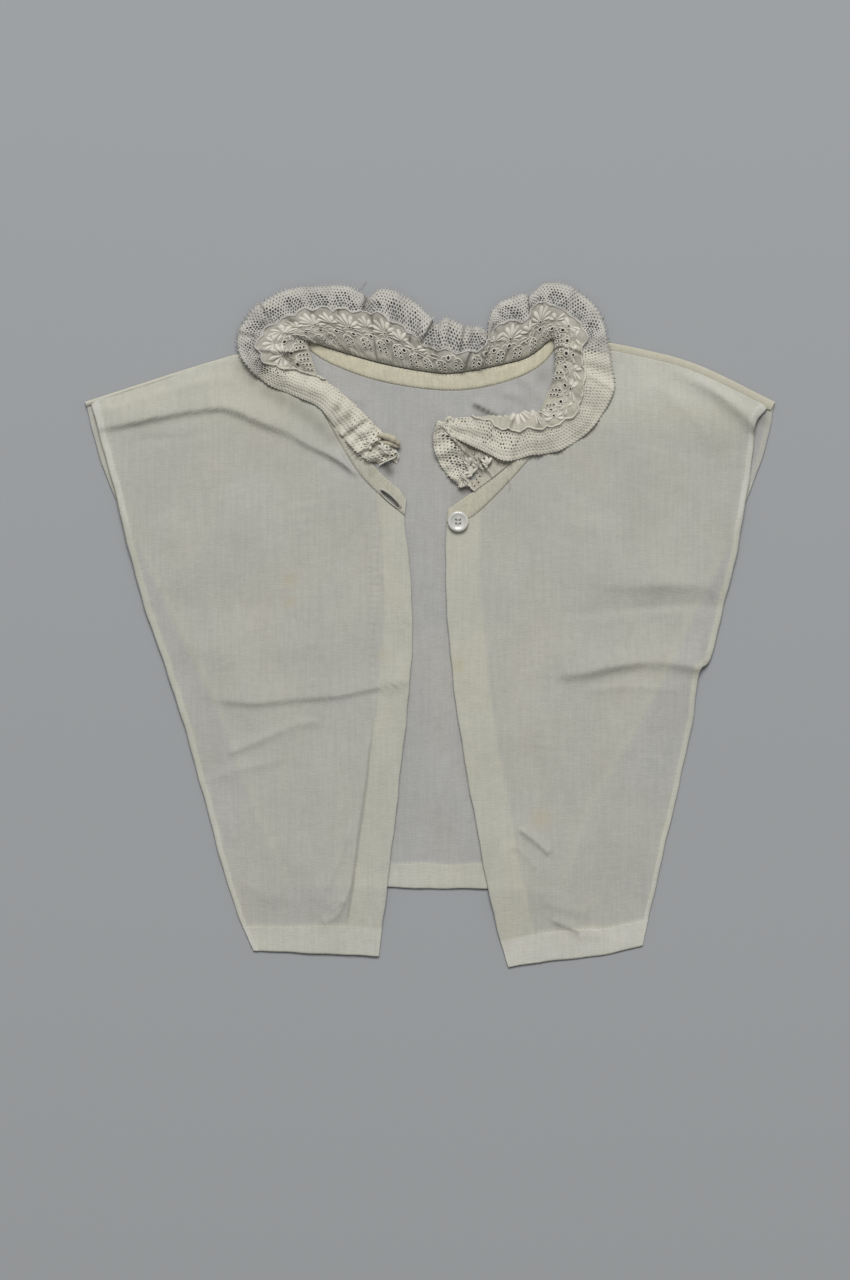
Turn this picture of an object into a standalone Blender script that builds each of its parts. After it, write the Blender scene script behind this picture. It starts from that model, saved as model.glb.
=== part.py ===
"""A jabot of fine white cotton, laid flat with its front up.

It is a sleeveless neck filler: a back and two open fronts joined at the shoulders, a neckband,
a gathered frill of embroidered edging and net lace, and one button.

Tables and sizes are in millimetres, and MM turns them into the scene's metres.
X runs to the right of someone who looks down at it, Y towards the back neck, Z up from the table.
Right and left are the wearer's, so the right front lies on the -X side.
"""

import math

import bmesh
import bpy
import numpy as np

MM = 0.001

# walls and layers
CLOTH = 1.0
TURNED = 0.4
GAP = 0.3
LAYER = CLOTH + TURNED + GAP
BAND = 1.3
LACE = 1.0

# turned edges, measured in from the edge of the cloth
SIDE_HEM = 3.3
FRONT_HEM = 15.0
BACK_HEM = 14.0
FACING = 19.0
STEP = 0.8
RIDGE_STEP = 0.4

# a panel's columns: how many spans lie between its hems, and the column at the neck's corner
BACK_SPANS, BACK_CORNER = 30, 12
FRONT_SPANS, FRONT_CORNER = 17, 14

# how far in front of the fold each shoulder seam lies
SEAM_RIGHT = 1.4
SEAM_LEFT = 4.2

# a front stays level this far outside the back, then comes down to the table
DROP_START = 12.0
DROP = 9.0

# outlines, as points (x, y) that a smooth line passes through
BACK_BOTTOM = ((-80, -142), (-23, -144), (32, -145), (73, -147))
BACK_SIDE_RIGHT = ((-80, -142), (-95, -106), (-119, -43), (-157, 36), (-180, 88), (-189.5, 123))
BACK_SIDE_LEFT = ((73, -147), (92, -96), (120, -46), (148, 11), (168, 53), (184, 97), (189.5, 123))
SHOULDER_RIGHT = ((-189.5, 123), (-124, 144), (-74, 158))
SHOULDER_LEFT = ((74, 160), (116, 152), (148, 143), (189.5, 123))
BACK_NECK = ((-74, 158), (-57, 145), (-27, 134), (10, 129), (39, 133), (61, 143), (74, 160))

RIGHT_SIDE = ((-97, -179), (-111, -143), (-136, -52), (-158, 14), (-173, 73), (-182, 106), (-186, 121))
RIGHT_HEM = ((-97, -179), (-47, -181), (-28, -182))
RIGHT_CENTRE = ((-28, -182), (-18, -96), (-11, -30), (-10, 14), (-14, 60))
RIGHT_NECK = ((-75, 155), (-73, 147), (-69, 133), (-59, 117), (-49, 99), (-38, 82), (-25, 69), (-14, 60))

LEFT_SIDE = (
    (117, -176), (128, -126), (143, -60), (148, -27), (154, -18), (163, 17), (170, 47), (177, 93), (179, 111),
    (185, 119),
)
LEFT_HEM = ((43, -188.1), (61, -185), (90, -182), (117, -176))
LEFT_CENTRE = ((43, -188.1), (32, -145), (15, -48), (9, 14), (9, 56))
LEFT_NECK = ((76, 155), (74, 139), (69, 118), (61, 100), (50, 86), (32, 67), (21, 58), (9, 56))

# the corner of the neckband beyond the frill, at the buttonhole end
BAND_CORNER = (-13, 69)

# the neckband's inner edge, into which the frill is gathered, from the right front end round to the left
SEAM_RIGHT_FRONT = ((-16, 74), (-30, 87), (-40, 105), (-51, 121), (-61, 138), (-65, 150), (-67, 158))
SEAM_BACK = ((-67, 158), (-57, 153), (-27, 144), (1, 139), (17, 139), (47, 145), (58, 150), (67, 158))
SEAM_LEFT_FRONT = ((67, 158), (68, 146), (66, 132), (53, 102), (41, 87), (24, 74), (10, 64))

# soft folds in the fronts: points along the fold, then its height and half width
RIGHT_FOLDS = (
    (((-183, 110), (-154, 115), (-124, 121), (-99, 121), (-72, 111), (-50, 98), (-36, 84)), 3.0, 6.0),
)
LEFT_FOLDS = (
    (((138, 140), (152, 133), (164, 119), (177, 103)), 3.0, 5.0),
    (((88, 12), (120, 14), (161, 8)), 1.6, 6.0),
)

# The frill's sections. place is the distance along the neckband's inner edge, (cord_x, cord_y)
# lies on the scalloped cord and (edge_x, edge_y) on the outer edge. Where the frill rolls over,
# roll is how far its crest lies behind the cord. lift and rim are how high the cord and the outer
# edge stand above what they lie on. From its fold on, the left front end lies back over the neck.
FRILL_COLUMNS = ("place", "roll", "cord_x", "cord_y", "edge_x", "edge_y", "lift", "rim")
FRILL_SECTIONS = (
    (8, 3, -20, 92, -28, 88, 4.0, 0.3),
    (23, 7, -29, 99, -38, 93, 4.5, 0.3),
    (40, 7, -38, 109, -47, 102, 4.5, 0.3),
    (65, 7, -57, 126, -61, 119, 4.0, 0.3),
    (78, 6, -71, 132, -73, 125, 4.0, 0.3),
    (89, 5, -85, 139, -89, 132, 4.5, 0.3),
    (97, 0, -93, 149, -103, 146, 4.5, 0.3),
    (101, 0, -92, 159, -105, 161, 4.5, 0.3),
    (106, 0, -84, 165, -94, 176, 4.5, 0.3),
    (114, 0, -75, 170, -79, 184, 4.5, 0.3),
    (122, 0, -63, 173, -64, 186, 4.0, 0.3),
    (135, 0, -47, 172, -45, 186, 4.0, 0.3),
    (145, 0, -34, 171, -34, 180, 2.5, 0.3),
    (151, 0, -26, 169, -26, 185, 3.5, 0.3),
    (162, 0, -13, 161, -9, 178, 3.5, 0.3),
    (173, 0, -2, 152, 3, 166, 2.5, 0.3),
    (180, 0, 8, 150, 9, 169, 3.5, 0.3),
    (189, 0, 19, 149, 20, 164, 3.0, 0.3),
    (196, 0, 27, 150, 28, 164, 3.0, 0.3),
    (201, 0, 33, 156, 31, 159, 3.0, 0.3),
    (208, 0, 40, 165, 35, 174, 4.0, 0.3),
    (220, 0, 53, 167, 50, 182, 4.0, 0.3),
    (227, 0, 56, 173, 56, 180, 2.5, 0.3),
    (233, 0, 62, 176, 63, 188, 4.5, 0.3),
    (239, 0, 74, 171, 79, 185, 4.5, 0.3),
    (243, 0, 82, 164, 93, 172, 4.5, 0.3),
    (246, 0, 84, 157, 97, 157, 4.5, 0.3),
    (252, 10, 82, 148, 99, 145, 4.5, 0.3),
    (262, 13, 84, 136, 101, 128, 4.0, 0.3),
    (276, 10, 79, 117, 89, 108, 4.0, 0.3),
    (290, 8, 67, 110, 72, 96, 4.0, 0.3),
    (306, 8, 54, 107, 55, 93, 4.0, 0.3),
    (315, 8, 44, 106, 42, 90, 4.5, 2.5),
    (321, 6, 33, 109, 29, 97, 5.0, 5.0),
    (327, 3, 15, 110, 11, 106, 5.0, 5.0),
    (331, 0, 12, 107, 5, 105, 4.0, 4.0),
    (335, 0, 14, 98, 4, 95, 2.5, 2.0),
    (341, 0, 20, 82, 14, 78, 1.5, 1.0),
)
FLOOR_BED = 1.7
CLOTH_BED = LAYER + CLOTH + TURNED + LACE + 3 * GAP
BACK_PLACES = (100, 243)
BACK_SEAM_HEIGHT = BAND + 1.5 * GAP
FRONT_SEAM_HEIGHT = LAYER + BAND + GAP
SEAM_GAP = 0.5
BED_SLOPE = 8.0
ROLL_SHARE = 0.6
RUFFLES = 34
RUFFLE_HEIGHT = 2.2
COLUMNS_PER_RUFFLE = 6

# the button and its hole
BUTTON_RADIUS = 5.75
BUTTON_HEIGHT = 2.2
BUTTON_PLACE = (15.4, 57.0)
BUTTON_HOLE = 0.6
BUTTON_HOLES_APART = 2.2
BUTTONHOLE_PLACE = (-21.5, 70.5)
BUTTONHOLE_LENGTH = 12.5
BUTTONHOLE_WIDTH = 1.8
BUTTONHOLE_TURN = math.radians(-42)


def spline(points, steps=12):
    """A smooth line through the points, as an array of points."""
    points = np.array(points, float)
    ends = np.vstack([2 * points[0] - points[1], points, 2 * points[-1] - points[-2]])
    t = np.linspace(0, 1, steps, endpoint=False)[:, None]
    spans = [
        0.5 * (2 * b + (c - a) * t + (2 * a - 5 * b + 4 * c - d) * t**2 + (3 * b - a - 3 * c + d) * t**3)
        for a, b, c, d in zip(ends, ends[1:], ends[2:], ends[3:])
    ]
    return np.vstack(spans + [points[-1:]])


def lengths_along(line):
    steps = np.linalg.norm(np.diff(line, axis=0), axis=1)
    return np.concatenate([[0], np.cumsum(steps)])


def places(line, fractions):
    """The points at these fractions of the line's length."""
    lengths = lengths_along(line)
    wanted = np.asarray(fractions) * lengths[-1]
    return np.stack([np.interp(wanted, lengths, line[:, axis]) for axis in range(line.shape[1])], axis=-1)


def offset(line, distance):
    """The line moved sideways, to the left of its own direction."""
    along = np.gradient(line, axis=0)
    along /= np.linalg.norm(along, axis=1)[:, None]
    return line + distance * np.column_stack([-along[:, 1], along[:, 0]])


def smooth(x):
    x = np.clip(x, 0, 1)
    return x * x * (3 - 2 * x)


def depth_inside(xy, outline):
    """How deep each point lies inside the closed outline, negative outside it."""
    points = xy.reshape(-1, 1, 2)
    start = outline[None]
    run = np.roll(outline, -1, axis=0)[None] - start
    length = np.maximum((run**2).sum(-1), 1e-9)
    t = np.clip(((points - start) * run).sum(-1) / length, 0, 1)
    away = np.linalg.norm(points - start - t[..., None] * run, axis=-1).min(axis=1)
    rises = (start[..., 1] > points[..., 1]) != ((start + run)[..., 1] > points[..., 1])
    slope = run[..., 0] / np.where(run[..., 1] == 0, 1e-9, run[..., 1])
    crossings = rises & (points[..., 0] < start[..., 0] + slope * (points[..., 1] - start[..., 1]))
    inside = crossings.sum(axis=1) % 2 == 1
    return np.where(inside, away, -away).reshape(xy.shape[:-1])


def marks(length, near, far, spans):
    """Fractions of a length: fixed distances from each end, with even spans between them."""
    between = np.linspace(near[-1], length - far[0], spans + 1)[1:-1]
    return np.concatenate([near, between, length - np.array(far)]) / length


def patch(bottom, top, left, right, across, up):
    """Points of a sheet between four edge lines, at fractions across and up it."""
    u, v = across[..., None], up[..., None]
    sides = (1 - v) * bottom(across) + v * top(across) + (1 - u) * left(up) + u * right(up)
    ends = np.array([0.0, 1.0])
    (low_left, low_right), (high_left, high_right) = bottom(ends), top(ends)
    corners = (1 - v) * ((1 - u) * low_left + u * low_right) + v * ((1 - u) * high_left + u * high_right)
    return sides - corners


def panel_grid(bottom, top, left, right, near, far, foot, head, columns, rows):
    """A panel's points in rows from its bottom edge up, with lines at the given distances from its edges."""
    middle = np.array([0.5])
    height = np.linalg.norm(top(middle) - bottom(middle))
    rough_up = marks(height, foot, head, rows)
    rough_across = np.linspace(0, 1, len(near) + len(far) + columns - 1)
    widths = np.linalg.norm(right(rough_up) - left(rough_up), axis=1)
    heights = np.linalg.norm(top(rough_across) - bottom(rough_across), axis=1)
    across = np.array([marks(width, near, far, columns) for width in widths])
    up = np.array([marks(height, foot, head, rows) for height in heights]).T
    return patch(bottom, top, left, right, across, up)


def edge(line):
    return lambda fractions: places(line, fractions)


def joined_edge(lines, corners):
    """An edge made of lines end to end, with the corners between them at these fractions."""
    stops = (0, *corners, 1)

    def at(fractions):
        found = np.zeros((*np.shape(fractions), 2))
        for line, low, high in zip(lines, stops, stops[1:]):
            here = (fractions >= low) & (fractions <= high)
            found[here] = places(line, (fractions[here] - low) / (high - low))
        return found

    return at


def with_height(xy, height):
    return np.concatenate([xy, np.broadcast_to(height, xy.shape[:-1])[..., None]], axis=-1)


def material(name, colour, roughness):
    made = bpy.data.materials.new(name)
    made.use_nodes = True
    shader = made.node_tree.nodes["Principled BSDF"]
    shader.inputs["Base Color"].default_value = (*colour, 1)
    shader.inputs["Roughness"].default_value = roughness
    shader.inputs["Metallic"].default_value = 0
    return made


def sheet(name, grid, thickness, finish, out=True):
    """A wall of cloth: the grid is one face of it, and Solidify gives the other."""
    rows, columns = grid.shape[:2]
    mesh = bpy.data.meshes.new(name)
    bm = bmesh.new()
    points = [[bm.verts.new(point * MM) for point in row] for row in grid]
    for j in range(rows - 1):
        for i in range(columns - 1):
            bm.faces.new((points[j][i], points[j][i + 1], points[j + 1][i + 1], points[j + 1][i]))
    bm.to_mesh(mesh)
    bm.free()
    mesh.materials.append(finish)
    mesh.shade_smooth()
    made = bpy.data.objects.new(name, mesh)
    collection.objects.link(made)
    thickness = np.broadcast_to(thickness, (rows, columns)).ravel()
    most = float(thickness.max())
    group = made.vertex_groups.new(name="thickness")
    for index, value in enumerate(thickness):
        group.add([index], float(value) / most, "REPLACE")
    wall = made.modifiers.new("wall", "SOLIDIFY")
    wall.thickness = most * MM
    wall.offset = 1 if out else -1
    wall.vertex_group = group.name
    return made


def fold_height(xy, folds):
    """How far soft folds lift the cloth at each point."""
    lift = np.zeros(xy.shape[:-1])
    for points, height, width in folds:
        line = spline(points)
        away = np.linalg.norm(xy[..., None, :] - line, axis=-1).min(axis=-1)
        lift += height * np.exp(-((away / width) ** 2))
    return lift


def build_back():
    """The back lies flat on the table. Its shoulders are raised where they wrap over to the seams."""
    hem = (0, SIDE_HEM, SIDE_HEM + STEP)
    foot = (0, BACK_HEM, BACK_HEM + STEP)
    across = marks(BACK_SIDE_LEFT[-1][0] - BACK_SIDE_RIGHT[-1][0], hem, hem[::-1], BACK_SPANS)
    corners = across[[BACK_CORNER, -1 - BACK_CORNER]]
    bottom, left, right = (edge(spline(line)) for line in (BACK_BOTTOM, BACK_SIDE_RIGHT, BACK_SIDE_LEFT))
    top = joined_edge([spline(SHOULDER_RIGHT), spline(BACK_NECK), spline(SHOULDER_LEFT)], corners)
    head = (SEAM_LEFT + RIDGE_STEP, SEAM_LEFT, SEAM_RIGHT + RIDGE_STEP, SEAM_RIGHT, 0)
    grid = panel_grid(bottom, top, left, right, hem, hem[::-1], foot, head, BACK_SPANS, 10)
    thickness = np.full(grid.shape[:2], CLOTH)
    thickness[:2] = thickness[:, :2] = thickness[:, -2:] = CLOTH + TURNED
    thickness[-2:, :BACK_CORNER] = LAYER + CLOTH
    thickness[-4:, -BACK_CORNER:] = LAYER + CLOTH
    sheet("back", with_height(grid, 0), thickness, cotton)
    return grid[-1, BACK_CORNER:-BACK_CORNER]


def build_front(name, side, hem_line, centre, neck, shoulder, seam, folds):
    """A front lies on the back, comes down to the table outside it, and is double at its hems."""
    turned = 1 if side[0][0] < centre[0][0] else -1
    shoulder = offset(spline(shoulder if turned == 1 else shoulder[::-1]), -turned * (seam + RIDGE_STEP + 0.1))
    inner_end = spline(neck)[0]
    shoulder = shoulder[turned * shoulder[:, 0] < turned * inner_end[0]]
    near = (0, SIDE_HEM, SIDE_HEM + STEP)
    far = (FACING + STEP, FACING, 0)
    across = marks(math.dist(side[-1], neck[-1]), near, far, FRONT_SPANS)
    corner = across[FRONT_CORNER]
    top = joined_edge([np.vstack([spline(side)[-1], shoulder[1:], inner_end]), spline(neck)], (corner,))
    hem_points = hem_line if turned == 1 else hem_line[::-1]
    foot = (0, FRONT_HEM, FRONT_HEM + STEP)
    bottom, left, right = (edge(spline(line)) for line in (hem_points, side, centre))
    grid = panel_grid(bottom, top, left, right, near, far, foot, (0,), FRONT_SPANS, 22)
    thickness = np.full(grid.shape[:2], CLOTH)
    thickness[:2] = thickness[:, :2] = thickness[:, -2:] = CLOTH + TURNED
    on_back = LAYER * smooth((depth_inside(grid, back_outline) + DROP_START + DROP) / DROP)
    heights = on_back + fold_height(grid, folds)
    points = with_height(grid, heights)
    if turned == -1:
        points, thickness = points[:, ::-1], thickness[:, ::-1]
    sheet(name, points, thickness, cotton)
    return grid[-1, FRONT_CORNER:][::-1]


def build_band(name, outer, inner, height, columns):
    """A stretch of the neckband, a strip between the cloth's neck edge and the frill's seam."""
    steps = np.linspace(0, 1, columns)
    low, high = places(outer, steps), places(inner, steps)
    across = np.linspace(0, 1, 4)[:, None, None]
    grid = with_height(low * (1 - across) + high * across, height)
    if np.cross(low[1] - low[0], high[0] - low[0]) < 0:
        grid = grid[:, ::-1]
    return sheet(name, grid, BAND, tape)


def part_of(line, start, end):
    """The stretch of a line between two fractions of its length."""
    return places(line, np.linspace(start, end, 60))


def frill_rows(rows):
    """The frill's surface, a row of points for each value from 0 at the seam to 3 at the outer edge."""
    table = {name: np.array(values, float) for name, values in zip(FRILL_COLUMNS, zip(*FRILL_SECTIONS))}
    seam_line = np.vstack([spline(SEAM_RIGHT_FRONT), spline(SEAM_BACK)[1:], spline(SEAM_LEFT_FRONT)[1:]])
    total = lengths_along(seam_line)[-1]
    seam = places(seam_line, table["place"] / total)
    way = places(seam_line, (table["place"] + 2) / total) - places(seam_line, (table["place"] - 2) / total)
    way /= np.linalg.norm(way, axis=1)[:, None]
    inward = np.column_stack([way[:, 1], -way[:, 0]])
    cord = np.column_stack([table["cord_x"], table["cord_y"]])
    rim = np.column_stack([table["edge_x"], table["edge_y"]])
    at_back = (table["place"] > BACK_PLACES[0]) & (table["place"] < BACK_PLACES[1])
    seam = seam + SEAM_GAP * np.where(at_back[:, None], -inward, inward)
    behind = (cord - rim) / np.linalg.norm(cord - rim, axis=1)[:, None]
    rolled = table["roll"][:, None] > 0
    crest = np.where(rolled, cord + table["roll"][:, None] * behind, (seam + cord) / 2)
    seam_height = np.where(at_back, BACK_SEAM_HEIGHT, FRONT_SEAM_HEIGHT)
    crest_height = bed(crest) + table["lift"] * np.where(rolled[:, 0], ROLL_SHARE, 0.7)
    lines = (
        with_height(seam, seam_height),
        with_height(crest, crest_height),
        with_height(cord, bed(cord) + table["lift"]),
        with_height(rim, bed(rim) + table["rim"]),
    )
    count = RUFFLES * COLUMNS_PER_RUFFLE
    lines = [spline(line, 24) for line in lines]
    index = np.linspace(0, len(lines[0]) - 1, count + 1)
    spacing = lengths_along((lines[2] + lines[3]) / 2)
    even = np.interp(np.linspace(0, spacing[-1], count + 1), spacing, np.arange(len(spacing)))
    index = (index + even) / 2
    lines = [
        np.stack([np.interp(index, np.arange(len(line)), line[:, axis]) for axis in range(3)], axis=-1)
        for line in lines
    ]
    controls = np.array([2 * lines[0] - lines[1], *lines, 2 * lines[3] - lines[2]])
    surface = []
    for row in rows:
        span = min(int(row), 2)
        t = row - span
        a, b, c, d = controls[span:span + 4]
        point = 0.5 * (2 * b + (c - a) * t + (2 * a - 5 * b + 4 * c - d) * t**2 + (3 * b - a - 3 * c + d) * t**3)
        phase = 2 * math.pi * RUFFLES * np.linspace(0, 1, count + 1)
        point[:, 2] += RUFFLE_HEIGHT * (row / 3) ** 1.5 * (0.5 - 0.5 * np.cos(phase))
        if row > 1.4:
            point[:, 2] = np.maximum(point[:, 2], bed(point[:, :2]))
        surface.append(point)
    return np.array(surface)


def bed(xy):
    """The height at which the frill clears whatever lies under this point."""
    deepest = np.maximum(depth_inside(xy, right_outline), depth_inside(xy, left_outline))
    return FLOOR_BED + (CLOTH_BED - FLOOR_BED) * smooth(1 + deepest / BED_SLOPE)


def pushed(grid, distance):
    """The grid's points moved along its normals."""
    along = np.gradient(grid, axis=1)
    up = np.gradient(grid, axis=0)
    normal = np.cross(along, up)
    return grid + distance * normal / np.linalg.norm(normal, axis=-1)[..., None]


def build_frill():
    """Both frills share one surface. The embroidery lies over it, and the net starts just under its cord."""
    embroidery = frill_rows((0, 0.5, 1, 1.5, 2.06))
    net = frill_rows((1.94, 2.3, 2.65, 3))
    sheet("frill_embroidery", embroidery, LACE, lace_cotton)
    sheet("frill_net", pushed(net, -GAP), LACE, lace_cotton, out=False)


def turned_profile(name, profile, steps, finish):
    """A solid of revolution about Z, from (radius, height) points that run down its outer side."""
    mesh = bpy.data.meshes.new(name)
    points = [(radius * MM, 0, height * MM) for radius, height in profile]
    mesh.from_pydata(points, [(i, i + 1) for i in range(len(points) - 1)], [])
    mesh.materials.append(finish)
    made = bpy.data.objects.new(name, mesh)
    collection.objects.link(made)
    screw = made.modifiers.new("turn", "SCREW")
    screw.steps = screw.render_steps = steps
    screw.use_merge_vertices = True
    screw.merge_threshold = 0.00001
    return made


def cut(target, name, build):
    """Cuts a mesh made by build(bm) from the target."""
    mesh = bpy.data.meshes.new(name)
    bm = bmesh.new()
    build(bm)
    bm.to_mesh(mesh)
    bm.free()
    cutter = bpy.data.objects.new(name, mesh)
    cutter.hide_render = True
    cutter.display_type = "WIRE"
    cutters.objects.link(cutter)
    boolean = target.modifiers.new(name, "BOOLEAN")
    boolean.object = cutter
    return cutter


def build_button():
    """A four-hole pearl button with a raised rim and a dished middle."""
    r, h = BUTTON_RADIUS, BUTTON_HEIGHT
    profile = (
        (0, h * 0.68), (r * 0.55, h * 0.72), (r * 0.68, h * 0.95), (r * 0.8, h), (r * 0.95, h * 0.9),
        (r, h * 0.6), (r * 0.96, h * 0.25), (r * 0.8, 0), (0, 0),
    )
    button = turned_profile("button", profile, 32, pearl)
    button.location = (BUTTON_PLACE[0] * MM, BUTTON_PLACE[1] * MM, button_height * MM)

    def holes(bm):
        for quarter in range(4):
            turn = math.radians(45 + 90 * quarter)
            made = bmesh.ops.create_cone(
                bm, cap_ends=True, segments=10, radius1=BUTTON_HOLE * MM, radius2=BUTTON_HOLE * MM,
                depth=3 * BUTTON_HEIGHT * MM,
            )
            shift = (math.cos(turn), math.sin(turn), 0)
            move = [axis * BUTTON_HOLES_APART / 2 * MM for axis in shift]
            bmesh.ops.translate(bm, verts=made["verts"], vec=move)

    cutter = cut(button, "button_hole_cutter", holes)
    cutter.parent = button


def cut_buttonhole(band):
    """A worked slit in the band's right end, longer than the button is wide."""

    def slit(bm):
        made = bmesh.ops.create_cone(bm, cap_ends=True, segments=14, radius1=MM, radius2=MM, depth=8 * MM)
        size = (BUTTONHOLE_LENGTH / 2, BUTTONHOLE_WIDTH / 2, 1)
        bmesh.ops.scale(bm, verts=made["verts"], vec=size)

    cutter = cut(band, "buttonhole_cutter", slit)
    cutter.rotation_euler.z = BUTTONHOLE_TURN
    cutter.location = (BUTTONHOLE_PLACE[0] * MM, BUTTONHOLE_PLACE[1] * MM, LAYER * MM)


for old in list(bpy.data.objects):
    bpy.data.objects.remove(old)
collection = bpy.data.collections.new("jabot")
cutters = bpy.data.collections.new("cutters")
for new in (collection, cutters):
    bpy.context.scene.collection.children.link(new)

cotton = material("white cotton", (0.64, 0.62, 0.56), 0.9)
tape = material("cream tape", (0.70, 0.65, 0.50), 0.85)
lace_cotton = material("lace cotton", (0.66, 0.63, 0.55), 0.9)
pearl = material("pearl", (0.72, 0.72, 0.68), 0.3)

back_outline = np.vstack(
    [spline(BACK_BOTTOM), spline(BACK_SIDE_LEFT), spline(SHOULDER_LEFT)[::-1],
     spline(BACK_NECK)[::-1], spline(SHOULDER_RIGHT)[::-1], spline(BACK_SIDE_RIGHT)[::-1]]
)
right_outline = np.vstack(
    [spline(RIGHT_HEM), spline(RIGHT_CENTRE), spline(SEAM_RIGHT_FRONT), spline(SHOULDER_RIGHT)[::-1],
     spline(RIGHT_SIDE)[::-1]]
)
left_outline = np.vstack(
    [spline(LEFT_HEM)[::-1], spline(LEFT_CENTRE), spline(SEAM_LEFT_FRONT)[::-1],
     spline(SHOULDER_LEFT), spline(LEFT_SIDE)[::-1]]
)
button_height = LAYER + CLOTH + TURNED + GAP

back_neck = build_back()
right_neck = build_front(
    "front_right", RIGHT_SIDE, RIGHT_HEM, RIGHT_CENTRE, RIGHT_NECK, SHOULDER_RIGHT, SEAM_RIGHT, RIGHT_FOLDS
)
left_neck = build_front(
    "front_left", LEFT_SIDE, LEFT_HEM, LEFT_CENTRE, LEFT_NECK, SHOULDER_LEFT, SEAM_LEFT, LEFT_FOLDS
)
build_band("neckband_back", offset(back_neck, 1.5 * GAP), spline(SEAM_BACK), 0, 40)
right_inner = np.vstack([BAND_CORNER, spline(SEAM_RIGHT_FRONT)])
right_band = build_band(
    "neckband_right", part_of(offset(right_neck, -GAP), 0, 0.72), part_of(right_inner, 0, 0.75), LAYER, 24
)
build_band(
    "neckband_left", part_of(offset(left_neck, GAP), 0, 0.72),
    part_of(spline(SEAM_LEFT_FRONT)[::-1], 0, 0.75), LAYER, 24,
)
cut_buttonhole(right_band)
build_frill()
build_button()
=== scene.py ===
"""The looks of a white cotton jabot, laid flat with its front up.

Tables and sizes are in millimetres, and MM turns them into metres. X runs to the right of someone
who looks down at the jabot, Y towards the back neck, Z up from the table. Right and left are the
wearer's. The outlines are those of the solids, and the frill's sections nearly so, drawn much finer.
"""

import math

import bmesh
import bpy
import numpy as np
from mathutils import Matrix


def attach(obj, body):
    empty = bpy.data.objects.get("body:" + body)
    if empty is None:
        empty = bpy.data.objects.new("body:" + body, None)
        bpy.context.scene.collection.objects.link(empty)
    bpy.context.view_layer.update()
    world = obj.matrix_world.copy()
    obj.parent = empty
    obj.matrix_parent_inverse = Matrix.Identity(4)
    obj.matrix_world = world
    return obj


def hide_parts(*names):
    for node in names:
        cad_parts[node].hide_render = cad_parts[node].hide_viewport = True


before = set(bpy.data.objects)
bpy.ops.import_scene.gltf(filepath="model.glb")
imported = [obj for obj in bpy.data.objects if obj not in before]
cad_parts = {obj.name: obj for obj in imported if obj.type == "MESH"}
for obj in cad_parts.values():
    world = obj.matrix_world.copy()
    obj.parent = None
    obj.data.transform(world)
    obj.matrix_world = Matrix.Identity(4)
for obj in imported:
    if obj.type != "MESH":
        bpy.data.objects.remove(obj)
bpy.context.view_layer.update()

MM = 0.001

# walls and layers of the solids
CLOTH = 1.0
TURNED = 0.4
GAP = 0.3
LAYER = CLOTH + TURNED + GAP
BAND = 1.3
LACE = 1.0

# The finer walls drawn here. SINK is how far the cloth's upper face lies below that of the solids.
BATISTE = 0.35
HEM_RELIEF = 0.3
HEM_WALL = 1.2
FLOOR_GAP = 0.02
THINNEST = 0.2
SINK = 0.05

# turned edges, measured in from the edge of the cloth
SIDE_HEM = 3.3
FRONT_HEM = 15.0
BACK_HEM = 14.0
FACING = 19.0
# what is turned in once more under a hem, and what the side hems take in all
TURNED_IN = 5
SIDE_TURNED = 6
# how far each turned edge doubles the cloth: lines of points in from the edge, and the amount at each
BACK_FOOT_TURN = ((0, 2, 6, 7, 8), (0.5, 1, 1, 0.55, 0))
BACK_SIDE_TURN = ((0, 2, 4, 5, 6), (0.5, 1, 1, 0.5, 0))
FRONT_FOOT_TURN = ((0, 2, 6, 7, 9), (0.4, 1, 1, 0.6, 0))
FRONT_SIDE_TURN = ((0, 2, 4, 5, 6), (0.4, 1, 1, 0.5, 0))
FACING_TURN = ((0, 2, 6, 7, 9), (0.3, 1, 1, 0.6, 0))

# pitch, length and thickness of the stitches, and the shares of the neckband's width where it has them
HEM_STITCH = (2.4, 1.3, 0.14)
BAND_STITCH = (2.0, 1.2, 0.13)
BAND_SEAMS = (0.1, 0.88)

# how far along its upper edge the neck of a front begins, and where the back's begins and ends
NECK_CORNER = 0.38
BACK_CORNERS = (0.32, 0.68)

# how far in front of the fold each shoulder seam lies
SEAM_RIGHT = 1.4
SEAM_LEFT = 4.2
SHOULDER_GAP = 0.5

# a front stays level this far outside the back, then comes down to the table
DROP_START = 2.0
DROP = 31.0

# outlines, as points (x, y) that a smooth line passes through
BACK_BOTTOM = ((-80, -142), (-23, -144), (32, -145), (73, -147))
BACK_SIDE_RIGHT = ((-80, -142), (-95, -106), (-119, -43), (-157, 36), (-180, 88), (-189.5, 123))
BACK_SIDE_LEFT = ((73, -147), (92, -96), (120, -46), (148, 11), (168, 53), (184, 97), (189.5, 123))
SHOULDER_RIGHT = ((-189.5, 123), (-124, 144), (-74, 158))
SHOULDER_LEFT = ((74, 160), (116, 152), (148, 143), (189.5, 123))
BACK_NECK = ((-74, 158), (-57, 145), (-27, 134), (10, 129), (39, 133), (61, 143), (74, 160))

RIGHT_SIDE = ((-97, -179), (-111, -143), (-136, -52), (-158, 14), (-173, 73), (-182, 106), (-186, 121))
RIGHT_HEM = ((-97, -179), (-47, -181), (-28, -182))
RIGHT_CENTRE = ((-28, -182), (-18, -96), (-11, -30), (-10, 14), (-14, 60))
RIGHT_NECK = ((-75, 155), (-73, 147), (-69, 133), (-59, 117), (-49, 99), (-38, 82), (-25, 69), (-14, 60))

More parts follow.
